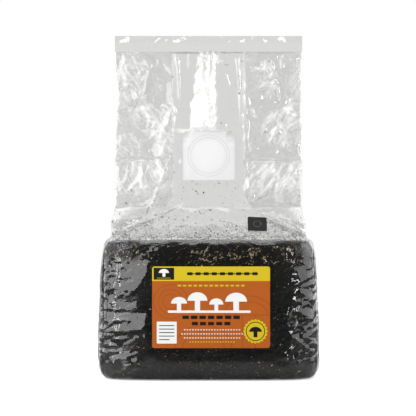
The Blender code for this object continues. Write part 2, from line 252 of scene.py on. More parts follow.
def set_input(tree, socket, value):
    """Links another node's output to an input, or writes a number, a vector or a colour into it."""
    if isinstance(value, bpy.types.NodeSocket):
        tree.links.new(value, socket)
    elif socket.type == "RGBA":
        socket.default_value = (*value, 1.0)
    else:
        socket.default_value = value


def add_node(tree, kind, inputs=None, **settings):
    """Adds a node with its settings, and with its inputs by name or by number."""
    node = tree.nodes.new(kind)
    for key, value in settings.items():
        setattr(node, key, value)
    for key, value in (inputs or {}).items():
        set_input(tree, node.inputs[key], value)
    return node


def new_material(name):
    """An empty material, its node tree and its Object coordinates."""
    made = bpy.data.materials.new(name)
    made.use_nodes = True
    tree = made.node_tree
    tree.nodes.clear()
    return made, tree, add_node(tree, "ShaderNodeTexCoord").outputs["Object"]


def new_group(name, inputs, outputs):
    """An empty node group with named number sockets, the sockets that enter it, and its end."""
    group = bpy.data.node_groups.new(name, "ShaderNodeTree")
    for direction, sockets in (("INPUT", inputs), ("OUTPUT", outputs)):
        for socket in sockets:
            group.interface.new_socket(socket, in_out=direction, socket_type="NodeSocketFloat")
    return group, group.nodes.new("NodeGroupInput").outputs, group.nodes.new("NodeGroupOutput").inputs


def shader(tree, kind, inputs):
    """The output of a new shader node."""
    return add_node(tree, kind, inputs).outputs[0]


def principled(tree, inputs):
    """A Principled surface's output."""
    return shader(tree, "ShaderNodeBsdfPrincipled", inputs)


def mix_shader(tree, factor, first, second):
    """A shader that fades into another."""
    return shader(tree, "ShaderNodeMixShader", {0: factor, 1: first, 2: second})


def surface(tree, finished, kind="ShaderNodeOutputMaterial"):
    """Ends a material, or the world, with its finished shader."""
    add_node(tree, kind, {"Surface": finished})


def math_node(tree, operation, first, second=None, clamp=False):
    """A Math node fed by other nodes' outputs or plain numbers."""
    inputs = {0: first} if second is None else {0: first, 1: second}
    return add_node(tree, "ShaderNodeMath", inputs, operation=operation, use_clamp=clamp).outputs[0]


def plus(tree, first, second, clamp=False):
    return math_node(tree, "ADD", first, second, clamp)


def minus(tree, first, second, clamp=False):
    return math_node(tree, "SUBTRACT", first, second, clamp)


def times(tree, first, second, clamp=False):
    return math_node(tree, "MULTIPLY", first, second, clamp)


def weighted_sum(tree, parts):
    """The sum of (value, share) pairs, each value times its share."""
    total = None
    for value, share in parts:
        part = times(tree, value, share)
        total = part if total is None else plus(tree, total, part)
    return total


def reach_of(tree, across, up):
    """How far a place lies from a centre, by its distances across and up from it."""
    squares = [math_node(tree, "POWER", value, 2.0) for value in (across, up)]
    return math_node(tree, "SQRT", plus(tree, *squares))


def round_line(tree, reach, radius, half_width):
    """1 on a round line of this radius, 0 elsewhere."""
    off = math_node(tree, "ABSOLUTE", minus(tree, reach, radius))
    return math_node(tree, "LESS_THAN", off, half_width)


def split_place(tree, place):
    """A place's outputs X, Y and Z."""
    return add_node(tree, "ShaderNodeSeparateXYZ", {0: place}).outputs


def mix_colour(tree, factor, first, second):
    """A colour between two colours."""
    node = add_node(tree, "ShaderNodeMix", data_type="RGBA")
    for name, value in (("Factor", factor), ("A", first), ("B", second)):
        set_input(tree, next(s for s in node.inputs if s.name == name and s.enabled), value)
    return next(s for s in node.outputs if s.enabled)


def ramp(tree, factor, stops):
    """A smooth value ramp given as (place, value) stops."""
    node = add_node(tree, "ShaderNodeValToRGB", {"Fac": factor})
    node.color_ramp.interpolation = "EASE"
    elements = node.color_ramp.elements
    elements.remove(elements[1])
    elements[0].position = stops[0][0]
    for place, _ in stops[1:]:
        elements.new(place)
    for element, (_, value) in zip(elements, stops):
        element.color = (value, value, value, 1.0)
    return node.outputs["Color"]


def noise_texture(tree, place, scale, detail, roughness=0.5, distortion=0.0):
    """Soft noise from 0 to 1."""
    inputs = {"Vector": place, "Scale": scale, "Detail": detail, "Roughness": roughness}
    return add_node(tree, "ShaderNodeTexNoise", {**inputs, "Distortion": distortion}).outputs["Fac"]


def bump_normal(tree, height, distance, strength=1.0):
    """The surface's normal with a fine relief on it."""
    inputs = {"Height": height, "Distance": distance, "Strength": strength}
    return add_node(tree, "ShaderNodeBump", inputs).outputs["Normal"]


def attribute(tree, name):
    """A value stored on the mesh's points."""
    return add_node(tree, "ShaderNodeAttribute", attribute_name=name).outputs["Fac"]


def film_crumple_group():
    """Creases of crumpled film, finer than the modelled ones, as a height and as a mask of the sharpest."""
    group, _, leave = new_group("film_crumple", (), ("Height", "Ridges"))
    place = add_node(group, "ShaderNodeTexCoord").outputs["Object"]
    warp = add_node(group, "ShaderNodeTexNoise", {"Vector": place, "Scale": 24.0, "Detail": 3.0})
    inputs = {0: warp.outputs["Color"], 1: (0.02, 0.02, 0.02), 2: place}
    shifted = add_node(group, "ShaderNodeVectorMath", inputs, operation="MULTIPLY_ADD").outputs[0]

    sheets = []
    for stretch, lean, scale, share in (
        ((1.0, 1.0, 2.4), 0.35, 46.0, 1.0),
        ((2.2, 1.0, 1.0), -0.5, 64.0, 0.7),
        ((1.0, 1.0, 1.8), 0.8, 170.0, 0.16),
    ):
        inputs = {"Vector": shifted, "Scale": stretch, "Rotation": (0.0, lean, 0.0)}
        turned = add_node(group, "ShaderNodeMapping", inputs).outputs[0]
        inputs = {"Vector": turned, "Scale": scale, "Detail": 5.0, "Lacunarity": 2.1, "Gain": 1.6}
        sheet = add_node(group, "ShaderNodeTexNoise", inputs, noise_type="RIDGED_MULTIFRACTAL")
        sheets.append((sheet.outputs["Fac"], share))
    set_input(group, leave["Height"], weighted_sum(group, sheets))

    threads = []
    for scale, sharpness, share in ((34.0, 5.0, 0.30), (85.0, 9.0, 0.40), (210.0, 8.0, 0.30)):
        web = noise_texture(group, shifted, scale, 3.0, 0.55)
        off = math_node(group, "ABSOLUTE", minus(group, web, 0.5))
        dull = times(group, off, sharpness)
        threads.append((minus(group, 1.0, dull, clamp=True), share))
    set_input(group, leave["Ridges"], weighted_sum(group, threads))
    return group


# Film shape


def wobble(x, y, z):
    """Soft noise from -1 to 1."""
    return noise.noise(Vector((x, y, z)))


def round_over(distance, height, inset):
    """How far a rounded edge draws in at distances from its end."""
    share = 1.0 - np.clip(np.asarray(distance, float) / height, 0.0, 1.0)
    return inset * (1.0 - np.sqrt(1.0 - share * share))


# Roundings of the block's edges, as (height, inset), then its lumps, and the film's bend, ears and crest
# over the block's top edge.
BASE_SIDE_ROUND, BASE_SIDE_INSET = 0.018, 0.009
BASE_FRONT_ROUND, BASE_FRONT_INSET = 0.026, 0.015
TOP_ROUND, TOP_INSET = 0.016, 0.0045
LUMP_HEIGHT, LUMP_PITCH = 0.0012, 0.045
SHOULDER_PANEL_RUN, SHOULDER_FOLD_RUN, SHOULDER_RISE = 0.55, 0.80, 0.35
EAR_BULGE, EAR_SPAN, EAR_LOW = 0.0110, 0.05, 0.6
CREST_WAVE, CREST_SPAN, CREST_PITCH = 0.0030, 0.0065, 0.024
VENT_RADIUS = 0.0165
# Spacing of points across the front, round the rest and, for the film and its crumbs, upwards.
FILM_PITCHES = (0.0011, 0.0025, 0.00152)
CRUMB_PITCHES = (0.002, 0.003, 0.0018)
BLOCK_PITCHES = (0.0017, 0.0021)
SECTION_SAMPLES = 400
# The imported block: its distance from the film, its rounder top edge and the rows of its crust.
BLOCK_GAP, CRUST_INSET, CRUST_ROWS = 0.0008, 0.0075, 40
# The loose lip over the heat seal: half its thickness, how far it sways and how ragged its edge is.
LIP_HALF_THICKNESS, LIP_SWAY, LIP_DROP = 0.0004, 0.0006, 0.0003


def wall_half(sizes, belly, top, base_round, base_inset, z):
    """Half width or half depth of the filled block at a height."""
    up = max(0.0, (z - sizes.belly_height) / (sizes.block_height - sizes.belly_height))
    half = (belly + (top - belly) * up) / 2
    half -= float(round_over(z, base_round, base_inset))
    return half - float(round_over(sizes.block_height - z, TOP_ROUND, TOP_INSET))


def section_quarter(sizes, z, lengths):
    """Points round a quarter of the block, from the front's middle to the side's middle."""
    half_width = wall_half(sizes, sizes.belly_width, sizes.top_width, BASE_SIDE_ROUND, BASE_SIDE_INSET, z)
    half_depth = wall_half(sizes, sizes.belly_depth, sizes.top_depth, BASE_FRONT_ROUND, BASE_FRONT_INSET, z)
    angle = np.linspace(0.0, math.pi / 2, SECTION_SAMPLES)
    power = 2.0 / sizes.section_power
    x = half_width * np.sin(angle) ** power
    y = -half_depth * np.clip(np.cos(angle), 0.0, None) ** power
    run = np.concatenate([[0.0], np.cumsum(np.hypot(np.diff(x), np.diff(y)))])
    quarter = (sizes.panel_width + sizes.gusset_width) / 2
    wanted = np.asarray(lengths) / quarter * run[-1]
    points = np.empty((len(lengths), 3))
    points[:, 0] = np.interp(wanted, run, x)
    points[:, 1] = np.interp(wanted, run, y)
    points[:, 2] = z
    return points


def quarter_lengths(sizes, panel_pitch, gusset_pitch):
    """Distances along the film from a panel's middle to the gusset's fold."""
    half_panel, half_gusset = sizes.panel_width / 2, sizes.gusset_width / 2
    front_end = half_panel - sizes.fold_width / 2
    gusset_start = half_panel + sizes.fold_width / 2
    gusset_end = half_panel + half_gusset - sizes.fold_gap / 2
    front = np.linspace(0.0, front_end, round(front_end / panel_pitch) + 1)
    side = np.linspace(gusset_start, gusset_end, round((gusset_end - gusset_start) / gusset_pitch) + 1)
    return np.concatenate([front, side])


def ring_layout(sizes, front_pitch, rest_pitch):
    """Where each point of a ring lies along the film, and the signs of its place across and in depth.

    The ring starts at the front's middle and goes round by the right.
    """
    front = quarter_lengths(sizes, front_pitch, rest_pitch)
    back = quarter_lengths(sizes, rest_pitch, rest_pitch)
    lengths = np.concatenate([front, back[::-1], back[1:], front[:0:-1]])
    right = len(front) + len(back)
    signs = np.ones((len(lengths), 3))
    signs[right:, 0] = -1.0
    signs[len(front) : right + len(back) - 1, 1] = -1.0
    return lengths, signs


def neck_ring(sizes, share, lengths):
    """The folded neck: the front panel, and the gusset tucked in behind it."""
    half_panel, half_gusset = sizes.panel_width / 2, sizes.gusset_width / 2
    fold_across = half_panel - half_gusset
    base = sizes.block_height + sizes.shoulder_height
    along_gusset = np.clip((lengths - half_panel) / half_gusset, 0.0, 1.0)
    low = base + sizes.fold_lag * along_gusset**2
    z = low + (sizes.seal_height - low) * share
    down = np.clip((sizes.seal_height - z) / (sizes.seal_height - base), 0.0, 1.0)
    open_share = np.sin(math.pi / 2 * down)
    closed = sizes.fold_width + sizes.fold_gap / 2
    edge = closed + (sizes.neck_edge - closed) * open_share
    middle = closed + (sizes.neck_opening - closed) * open_share
    bulge = np.cos(math.pi / 2 * np.clip(lengths / half_panel, 0, 1)) ** 2
    gusset_start = half_panel + sizes.fold_width / 2
    gusset_end = half_panel + half_gusset - sizes.fold_gap / 2
    along = (lengths - gusset_start) / (gusset_end - gusset_start)
    behind = edge - sizes.fold_width
    on_panel = lengths < half_panel
    points = np.empty((len(lengths), 3))
    points[:, 0] = np.where(on_panel, lengths, half_panel + (fold_across - half_panel) * along)
    points[:, 1] = -np.where(
        on_panel, edge + (middle - edge) * bulge, behind + (sizes.fold_gap / 2 - behind) * along
    )
    points[:, 2] = z
    return points


def shoulder_ring(sizes, share, lower, upper, lengths):
    """Film drawn in from the block's edge to the neck, shallow at the edge and steep at the neck."""
    along = np.clip((lengths - sizes.panel_width / 2) / (sizes.gusset_width / 2), 0.0, 1.0)
    run = (SHOULDER_PANEL_RUN + (SHOULDER_FOLD_RUN - SHOULDER_PANEL_RUN) * along)[:, None]
    bend = lower + (upper - lower) * run
    bend[:, 2] = lower[:, 2] + (upper[:, 2] - lower[:, 2]) * SHOULDER_RISE
    first = lower + (bend - lower) * share
    second = bend + (upper - bend) * share
    ring = first + (second - first) * share
    off_crease = np.minimum(1.0, np.abs(lengths - sizes.panel_width / 2) / EAR_SPAN)
    ring[:, 0] += EAR_BULGE * math.sin(math.pi * share**EAR_LOW) * np.cos(math.pi / 2 * off_crease) ** 2
    return ring


def lump(sizes, x, y, z):
    """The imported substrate's low swellings."""
    fade = min(1.0, z / BASE_FRONT_ROUND, (sizes.block_height - z) / TOP_ROUND)
    if fade <= 0.0:
        return 0.0
    return LUMP_HEIGHT * fade * noise.noise(Vector((x, y, z)) / LUMP_PITCH)


def swell(sizes, rings):
    """Applies the swellings to whole rings, and lets the block's top edge rise and fall a little."""
    for ring in rings:
        near_crest = math.exp(-(((ring[0][2] - sizes.block_height) / CREST_SPAN) ** 2))
        for point in ring:
            x, y, z = point
            reach = math.hypot(x, y) or 1.0
            grow = 1.0 + lump(sizes, x, y, z) / reach
            if near_crest > 0.01:
                point[2] = z + CREST_WAVE * near_crest * wobble(x / CREST_PITCH, y / CREST_PITCH, 9.0)
            point[0], point[1] = x * grow, y * grow
    return rings


def block_levels(sizes, pitch):
    """Heights of rings up the block, closer where its edges are rounded."""
    quarter_turn = math.pi / 2
    base_end = max(BASE_FRONT_ROUND, BASE_SIDE_ROUND)
    top_start = sizes.block_height - TOP_ROUND
    base = base_end * (1 - np.cos(np.linspace(0, quarter_turn, round(base_end * 1.5 / pitch))))
    wall = np.linspace(base_end, top_start, round((top_start - base_end) / pitch) + 1)[1:-1]
    top = top_start + TOP_ROUND * np.sin(np.linspace(0, quarter_turn, round(TOP_ROUND * 1.5 / pitch)))
    return np.concatenate([base, wall, top])


def film_rings(sizes, front_pitch, rest_pitch, level_pitch):
    """The film's rings from the base to the heat seal, the zone of each, and its ring layout."""
    lengths, signs = ring_layout(sizes, front_pitch, rest_pitch)
    rings = [section_quarter(sizes, z, lengths) for z in block_levels(sizes, level_pitch)]
    zones = ["block"] * len(rings)
    lower, upper = rings[-1], neck_ring(sizes, 0.0, lengths)
    shoulder = round(1.5 * sizes.shoulder_height / level_pitch)
    for k in range(1, shoulder):
        rings.append(shoulder_ring(sizes, k / shoulder, lower, upper, lengths))
        zones.append("shoulder")
    neck_run = sizes.seal_height - sizes.block_height - sizes.shoulder_height
    neck = round(neck_run / level_pitch)
    for k in range(neck + 1):
        rings.append(neck_ring(sizes, k / neck, lengths))
        zones.append("neck")
    return swell(sizes, np.array(rings) * signs), zones, lengths, signs


def ring_normals(rings):
    """Outward normals of a grid of rings that turn to the right as they go round."""
    around = np.roll(rings, -1, axis=1) - np.roll(rings, 1, axis=1)
    upward = np.gradient(rings, axis=0)
    normals = np.cross(around, upward)
    length = np.linalg.norm(normals, axis=2, keepdims=True)
    return normals / np.maximum(length, 1e-12)


def snap_to_hole(rings, centre, radius):
    """Moves grid points beside a round hole in the front onto its edge, and tells which lie inside it."""
    rings = rings.copy()
    front = rings[..., 1] < 0
    off = np.hypot(rings[..., 0] - centre[0], rings[..., 2] - centre[1]) - radius
    off = np.where(front & (np.abs(rings[..., 0]) < 3 * radius), off, 1.0)
    on_edge = np.zeros_like(off, bool)
    for axis in (0, 1):
        near, far = np.moveaxis(off, axis, 0)[:-1], np.moveaxis(off, axis, 0)[1:]
        crossing = (near < 0) != (far < 0)
        for k, i in zip(*np.nonzero(crossing)):
            one = (k, i) if axis == 0 else (i, k)
            two = (k + 1, i) if axis == 0 else (i, k + 1)
            pick = one if abs(off[one]) < abs(off[two]) else two
            if on_edge[one] or on_edge[two]:
                continue
            point = rings[pick]
            reach = math.hypot(point[0] - centre[0], point[2] - centre[1])
            point[0] = centre[0] + (point[0] - centre[0]) * radius / reach
            point[2] = centre[1] + (point[2] - centre[1]) * radius / reach
            on_edge[pick] = True
    return rings, (off < 0) & ~on_edge


def grid_mesh(name, rings, cap_low=False, cap_high=False, inside=None):
    """A tube through rings of points, its faces outwards. Points marked as inside a hole are left out."""
    levels, around = rings.shape[:2]
    points = rings.reshape(-1, 3)
    k, i = np.meshgrid(np.arange(levels - 1), np.arange(around), indexing="ij")
    j = (i + 1) % around
    lower, upper = k * around, (k + 1) * around
    faces = np.stack([lower + i, lower + j, upper + j, upper + i], axis=-1).reshape(-1, 4)
    polygons = [tuple(face) for face in faces.tolist()]
    if inside is not None:
        gone = inside.reshape(-1)
        polygons = [tuple(v for v in face if not gone[v]) for face in polygons]
        polygons = [face for face in polygons if len(face) > 2]
    if cap_low:
        polygons.append(tuple(reversed(range(around))))
    if cap_high:
        polygons.append(tuple(range((levels - 1) * around, levels * around)))
    mesh = bpy.data.meshes.new(name)
    mesh.from_pydata(points.tolist(), [], polygons)
    mesh.update()
    if inside is not None:
        loose = bmesh.new()
        loose.from_mesh(mesh)
        bmesh.ops.delete(loose, geom=[v for v in loose.verts if not v.link_faces], context="VERTS")
        loose.to_mesh(mesh)
        loose.free()
    made = bpy.data.objects.new(name, mesh)
    bpy.context.scene.collection.objects.link(made)
    mesh.shade_smooth()
    return made


def give_attribute(obj, name, values):
    """Stores a value for each point of a mesh, for its material."""
    layer = obj.data.attributes.new(name, "FLOAT", "POINT")
    layer.data.foreach_set("value", np.asarray(values, np.float32).ravel())


def smooth_step(value, low, high):
    """0 below low, 1 above high, and smooth between them."""
    share = np.clip((np.asarray(value, float) - low) / (high - low), 0.0, 1.0)
    return share * share * (3 - 2 * share)


def ridged(point, pitch, seed, octaves=3):
    """Sharp-crested noise from 0 to 1."""
    total, weight, reach = 0.0, 0.0, 1.0
    place = Vector(point) / pitch + Vector((seed, seed * 1.7, seed * 2.3))
    for _ in range(octaves):
        total += reach * (1.0 - 2.0 * abs(noise.noise(place)))
        weight += reach
        reach *= 0.5
        place *= 2.1
    return total / weight


def crease(x, z, start, end, width, height):
    """A sharp fold between two points, seen from the front, faded at its ends."""
    (x0, z0), (x1, z1) = start, end
    dx, dz = x1 - x0, z1 - z0
    length = math.hypot(dx, dz)
    along = ((x - x0) * dx + (z - z0) * dz) / length
    off = ((x - x0) * dz - (z - z0) * dx) / length
    fade = smooth_step(along, -0.1 * length, 0.12 * length)
    fade *= 1 - smooth_step(along, 0.88 * length, 1.1 * length)
    return height * fade * np.exp(-np.abs(off) / width)


def rounded_fold(x, z, start, end, width, height):
    """A soft swelling between two points, seen from the front."""
    (x0, z0), (x1, z1) = start, end
    dx, dz = x1 - x0, z1 - z0
    along = np.clip(((x - x0) * dx + (z - z0) * dz) / (dx * dx + dz * dz), 0.0, 1.0)
    off = np.hypot(x - x0 - along * dx, z - z0 - along * dz)
    return height * np.exp(-((off / width) ** 2))


def pleats(x, z, chance, low, high, count, length, width, height, lean=0.0, spread=3.0):
    """Many overlapping long pyramids with sharp edges: the flat facets of crumpled film."""
    total = np.zeros_like(x)
    for _ in range(count):
        middle_x, middle_z = chance.uniform(low[0], high[0]), chance.uniform(low[1], high[1])
        turn = chance.gauss(lean, spread)
        reach, half = length * chance.uniform(0.5, 1.5), width * chance.uniform(0.5, 1.5)
        tall = height * chance.uniform(-0.5, 1.0)
        dx, dz = x - middle_x, z - middle_z
        along = np.abs(dx * math.cos(turn) + dz * math.sin(turn)) / reach
        off = np.abs(dz * math.cos(turn) - dx * math.sin(turn)) / half
        total += tall * np.clip(1.0 - np.maximum(along, off), 0.0, None)
    return total


# Folds of the neck and shoulder, as (start, end, width, height). Places are across and up from the foot.
NECK_FOLDS = (
    ((-0.034, 0.352), (-0.031, 0.300), 0.0022, 0.0016),
    ((-0.041, 0.345), (-0.037, 0.262), 0.0030, 0.0010),
    ((0.031, 0.352), (0.036, 0.268), 0.0026, 0.0018),
    ((0.040, 0.330), (0.041, 0.250), 0.0030, 0.0013),
    ((-0.066, 0.175), (-0.040, 0.240), 0.0025, 0.0016),
    ((0.048, 0.186), (0.038, 0.240), 0.0026, 0.0014),
    ((-0.088, 0.200), (-0.062, 0.228), 0.0024, 0.0011),
    ((0.060, 0.232), (0.092, 0.196), 0.0028, 0.0012),
    ((-0.094, 0.334), (-0.060, 0.276), 0.0034, 0.0014),
    ((0.056, 0.345), (0.090, 0.270), 0.0034, 0.0014),
    ((-0.062, 0.345), (-0.070, 0.300), 0.0030, 0.0014),
    ((0.010, 0.352), (0.022, 0.315), 0.0020, 0.0010),
)
# Pleats of the neck's wings, its crumpled parts either side of the smoother middle: where the wings are,
# and (count, length, width, height) of each layer.
WING_INNER, WING_OUTER = 0.036, 0.104
WING_LOW, WING_TOP = 0.19, 0.352
WING_PLEATS = (
    (90, 0.016, 0.0045, 0.0013),
    (26, 0.034, 0.012, 0.0026),
    (170, 0.009, 0.0028, 0.0006),
)
GUSSET_SHARE = 0.35
# Other pleats, as (low corner, high corner, count, length, width, height, lean, spread of the lean).
QUIET_PLEATS = ((-0.034, 0.20), (0.034, 0.35), 16, 0.040, 0.007, 0.0006, math.pi / 2, 0.35)
HIP_PLEATS = ((-0.112, 0.183), (0.112, 0.205), 34, 0.020, 0.004, 0.0008, 0.0, 0.45)
DRAWN_PLEATS = ((-0.112, 0.150), (0.112, 0.180), 16, 0.024, 0.007, 0.0007, 0.6, 0.9)
TUFTS = ((-0.101, 0.338), (0.101, 0.351), 90, 0.007, 0.0019, 0.0009, math.pi / 2, 0.22)
# The wrapped block's pleats, which share one spread, from the left wall to the right, the top and the foot.
BLOCK_PLEATS = (
    ((-0.150, 0.078), (-0.076, 0.142), 130, 0.010, 0.0026, 0.00024, 0.35),
    ((-0.150, 0.076), (-0.078, 0.142), 300, 0.0065, 0.0018, 0.00017, -0.50),
    ((-0.150, 0.024), (-0.074, 0.080), 260, 0.0080, 0.0018, 0.00019, 0.25),
    ((-0.150, 0.030), (-0.074, 0.076), 170, 0.013, 0.0024, 0.00034, 0.10),
    ((-0.150, 0.004), (-0.080, 0.032), 150, 0.012, 0.0026, 0.00062, 0.10),
    ((0.074, 0.010), (0.150, 0.100), 330, 0.008, 0.0026, 0.00060, 0.60),
    ((0.076, 0.003), (0.116, 0.076), 420, 0.0065, 0.0019, 0.00046, 0.70),
    ((0.092, 0.070), (0.124, 0.140), 120, 0.0060, 0.0019, 0.00035, 0.50),
    ((0.082, 0.095), (0.150, 0.142), 70, 0.010, 0.0026, 0.00045, 0.60),
    ((-0.112, 0.134), (0.112, 0.152), 150, 0.012, 0.0018, 0.00060, 0.0),
    ((-0.110, 0.003), (0.110, 0.024), 90, 0.016, 0.0026, 0.00035, 0.1),
)
BLOCK_SPREAD = 0.45
# The block's corners: where its front turns to the side, how deep the sides start, and the upright
# creases on them, with the left one's dark line, painted shade where the film's reflection is taken away.
CORNER_START, CORNER_DEPTH, CORNER_LINE, SHADED_CORNER_LINE = 0.100, 0.055, 0.1135, 0.1130
# The height up to which the block's middle is calm, and how far a hollow may go in towards the grains.
CALM_TOP, DEEPEST_HOLLOW = 0.130, 0.0007
# Level creases of the neck, the splits of its middle strip as (place, drop), and the shoulder's haze.
FOLD_LINE_HEIGHT, HIP_LINE_HEIGHT = 0.2355, 0.1865
STRIP_SPLITS = ((0.36, 0.36), (0.70, 0.34))
SHOULDER_HAZE = 0.14
# Threads of crumpled film, painted white as sheen and highlights, as (length, width, share) of each layer,
# and their slopes.
STREAK_LAYERS = ((0.034, 0.0095, 0.42), (0.018, 0.0048, 0.40), (0.009, 0.0026, 0.18))
STREAK_SLOPE, LEFT_WALL_SLOPE, LEFT_WALL_TOP = math.radians(52.0), math.radians(152.0), 0.146
# Fitted pieces under which the film lies flat, with the margin where its folds fade.
FLAT_PLACES = (
    (LABEL_LOW, LABEL_HIGH, 0.006),
    (PORT_LOW, PORT_HIGH, 0.006),
    (PATCH_LOW, PATCH_HIGH, 0.004),
)
# How near the film counts as touching a piece, far enough to take in the film over the patch's rolled
# corners, which clears it and lifts their shade as painted light, and the pitches of its broad and rough
# waves.
TOUCH_DISTANCE = 0.0045
WAVE_PITCH, ROUGH_PITCH = 0.05, 0.016
# Folds of the wrapped block, as those of the neck.
BLOCK_FOLDS = (
    ((-0.087, 0.143), (-0.056, 0.129), 0.0016, 0.0014),
    ((0.003, 0.146), (-0.005, 0.134), 0.0010, 0.0009),
    ((0.058, 0.132), (0.068, 0.108), 0.0011, 0.0009),
    ((-0.111, 0.074), (-0.066, 0.072), 0.0014, -0.0011),
    ((-0.110, 0.052), (-0.068, 0.056), 0.0016, 0.0009),
    ((-0.108, 0.020), (-0.060, 0.012), 0.0014, 0.0013),
    ((-0.104, 0.012), (-0.092, 0.030), 0.0012, 0.0012),
    ((-0.096, 0.010), (-0.074, 0.022), 0.0012, 0.0011),
    ((0.085, 0.050), (0.110, 0.030), 0.0014, 0.0012),
    ((0.082, 0.098), (0.112, 0.112), 0.0014, 0.0011),
    ((0.088, 0.076), (0.110, 0.066), 0.0014, 0.0011),
)
# Its soft swellings, and hollows where the height is negative.
BLOCK_SWALES = (
    ((-0.052, 0.130), (-0.078, 0.098), 0.0075, 0.0010),
    ((-0.064, 0.066), (-0.062, 0.034), 0.0085, 0.0010),
    ((-0.090, 0.086), (-0.088, 0.080), 0.0060, -0.0005),
    ((0.083, 0.068), (0.081, 0.016), 0.0080, 0.0016),
)
# Cloudy areas of the neck, partly milky film and partly painted sheen for the crumpled film's reflections,
# as (across, up, half width, half height, strength).
CLOUDS_AND_SHEEN = (
    (-0.085, 0.326, 0.014, 0.028, 0.95),
    (-0.090, 0.298, 0.013, 0.022, 0.75),
    (-0.067, 0.281, 0.021, 0.021, 1.05),
    (-0.047, 0.256, 0.015, 0.018, 0.90),
    (-0.086, 0.252, 0.016, 0.014, 0.65),
    (-0.070, 0.213, 0.031, 0.025, 0.80),
    (0.064, 0.324, 0.010, 0.020, 0.80),
    (0.080, 0.272, 0.025, 0.023, 1.00),
    (0.094, 0.310, 0.009, 0.026, 0.55),
    (0.072, 0.211, 0.033, 0.025, 1.15),
    (0.000, 0.192, 0.050, 0.008, 0.26),
)


def near_box(x, z, low, high, margin):
    """1 over a fitted piece's box seen from the front, fading to 0 a margin away."""
    off = np.maximum.reduce([low.x - x, x - high.x, low.z - z, z - high.z])
    return 1 - smooth_step(off, 0.0, margin)


def touching(name, rings, wanted):
    """1 where a CAD piece lies close behind or before the film's front, 0 elsewhere."""
    tree = BVHTree.FromObject(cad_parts[name], bpy.context.evaluated_depsgraph_get())
    touched = np.zeros(rings.shape[:2])
    for k, i in zip(*np.nonzero(wanted)):
        x, y, z = rings[k, i]
        hit = tree.ray_cast(Vector((x, -1.0, z)), Vector((0.0, 1.0, 0.0)))[0]
        if hit is not None and abs(hit.y - y) < TOUCH_DISTANCE:
            touched[k, i] = 1.0
    return touched


def streaks(x, z):
    """Flowing threads of crumpled film, from 0 to 1, and the ragged edges of the areas they fill; they mask
    the painted sheen and highlights.

    They run down towards the bag's middle, and on the block's left wall down and outwards.
    """
    # Unseeded, the noise vectors would follow the clock
    noise.seed_set(SEED)
    thread, torn = np.empty_like(x), np.empty_like(x)
    for k, i in np.ndindex(x.shape):
        across, up = float(x[k, i]), float(z[k, i])
        side = 3.0 if across < 0 else 8.0
        turn = LEFT_WALL_SLOPE if across < 0 and up < LEFT_WALL_TOP else STREAK_SLOPE
        shift = noise.noise_vector(Vector((across / 0.022, side, up / 0.022)))
        out, high = abs(across) + 0.0045 * shift.x, up + 0.0045 * shift.z
        along = out * math.cos(turn) + high * math.sin(turn)
        off = high * math.cos(turn) - out * math.sin(turn)
        total = 0.0
        for long, narrow, share in STREAK_LAYERS:
            value = wobble(along / long, off / narrow, side)
            total += share * max(0.0, 1.0 - 3.2 * abs(value))
        thread[k, i] = total
        torn[k, i] = 0.45 * wobble(across / 0.013, side, up / 0.013)
    return thread, torn


def ragged_line(z, seed, broad, fine):
    """A crooked upright line, as its sideways shift at each ring's height."""
    shifts = [
        broad * wobble(seed, 2.0, v / 0.010) + fine * wobble(seed, 7.0, v / 0.0034) for v in z[:, 0]
    ]
    return np.array(shifts)[:, None]


def middle_strip(x, z):
    """Left and right edges of the strip that leans to the left down the neck's middle, and where it is."""
    lift = np.clip((z - 0.285) / 0.065, 0.0, 1.0)
    left = -0.0205 + 0.0100 * lift + ragged_line(z, 0.0, 0.0042, 0.0026)
    right = 0.0095 - 0.0020 * lift + ragged_line(z, 9.0, 0.0034, 0.0018)
    foot = 0.266 + 0.006 * np.array([wobble(v / 0.006, 1.0, 1.0) for v in x[-1]])[None, :]
    return left, right, foot


def middle_ramp(x, z, behind=False):
    """The lean of the neck's middle strip, which comes back gently beside it, at the front or behind."""
    left, right, foot = middle_strip(x, z)
    rise = np.clip((x - left) / (right - left), 0.0, 1.0)
    for at, drop in STRIP_SPLITS:
        split = left + at * (right - left)
        rise = rise - drop * smooth_step(z, 0.320, 0.350) * smooth_step(x, split, split + 0.0013)
    if behind:
        rise = (1 - rise) * smooth_step(x, -0.060, -0.022)
    else:
        rise = rise * (1 - smooth_step(x, 0.008, 0.048))
    envelope = smooth_step(z, foot - 0.004, foot + 0.006) * (1 - smooth_step(z, 0.3495, 0.3528))
    return 0.20 * (right - left) * rise * envelope


def bag_parts(sizes, rings, zones, lengths, signs):
    """Where the film's points are, the part of the bag each is on, and broad and rough waves over them."""
    x, y, z = rings[..., 0], rings[..., 1], rings[..., 2]
    whole = np.ones_like(x, bool)
    zone = np.array(zones)[:, None]
    half_panel = sizes.panel_width / 2
    on_gusset = (lengths > half_panel)[None, :] & whole
    right_gusset = on_gusset & (signs[:, 0] > 0)[None, :]
    wave, rough = np.empty_like(x), np.empty_like(x)
    for k, i in np.ndindex(x.shape):
        seed = 3.0 if on_gusset[k, i] else (0.0 if y[k, i] < 0 else 7.0)
        place = Vector(rings[k, i])
        wave[k, i] = noise.noise(place / WAVE_PITCH + Vector((seed, 4.0, seed)))
        rough[k, i] = ridged(place, ROUGH_PITCH, seed)
    return SimpleNamespace(
        x=x,
        y=y,
        z=z,
        wave=wave,
        rough=rough,
        block=(zone == "block") & whole,
        shoulder=(zone == "shoulder") & whole,
        neck=(zone == "neck") & whole,
        front=(signs[:, 1] > 0)[None, :] & ~on_gusset,
        back=(signs[:, 1] < 0)[None, :] & ~on_gusset,
        right_gusset=right_gusset,
        left_gusset=on_gusset & ~right_gusset,
        off_crease=np.abs(lengths - half_panel)[None, :] * np.ones_like(x),
        wings=smooth_step(np.abs(x), 0.030, 0.044),
    )


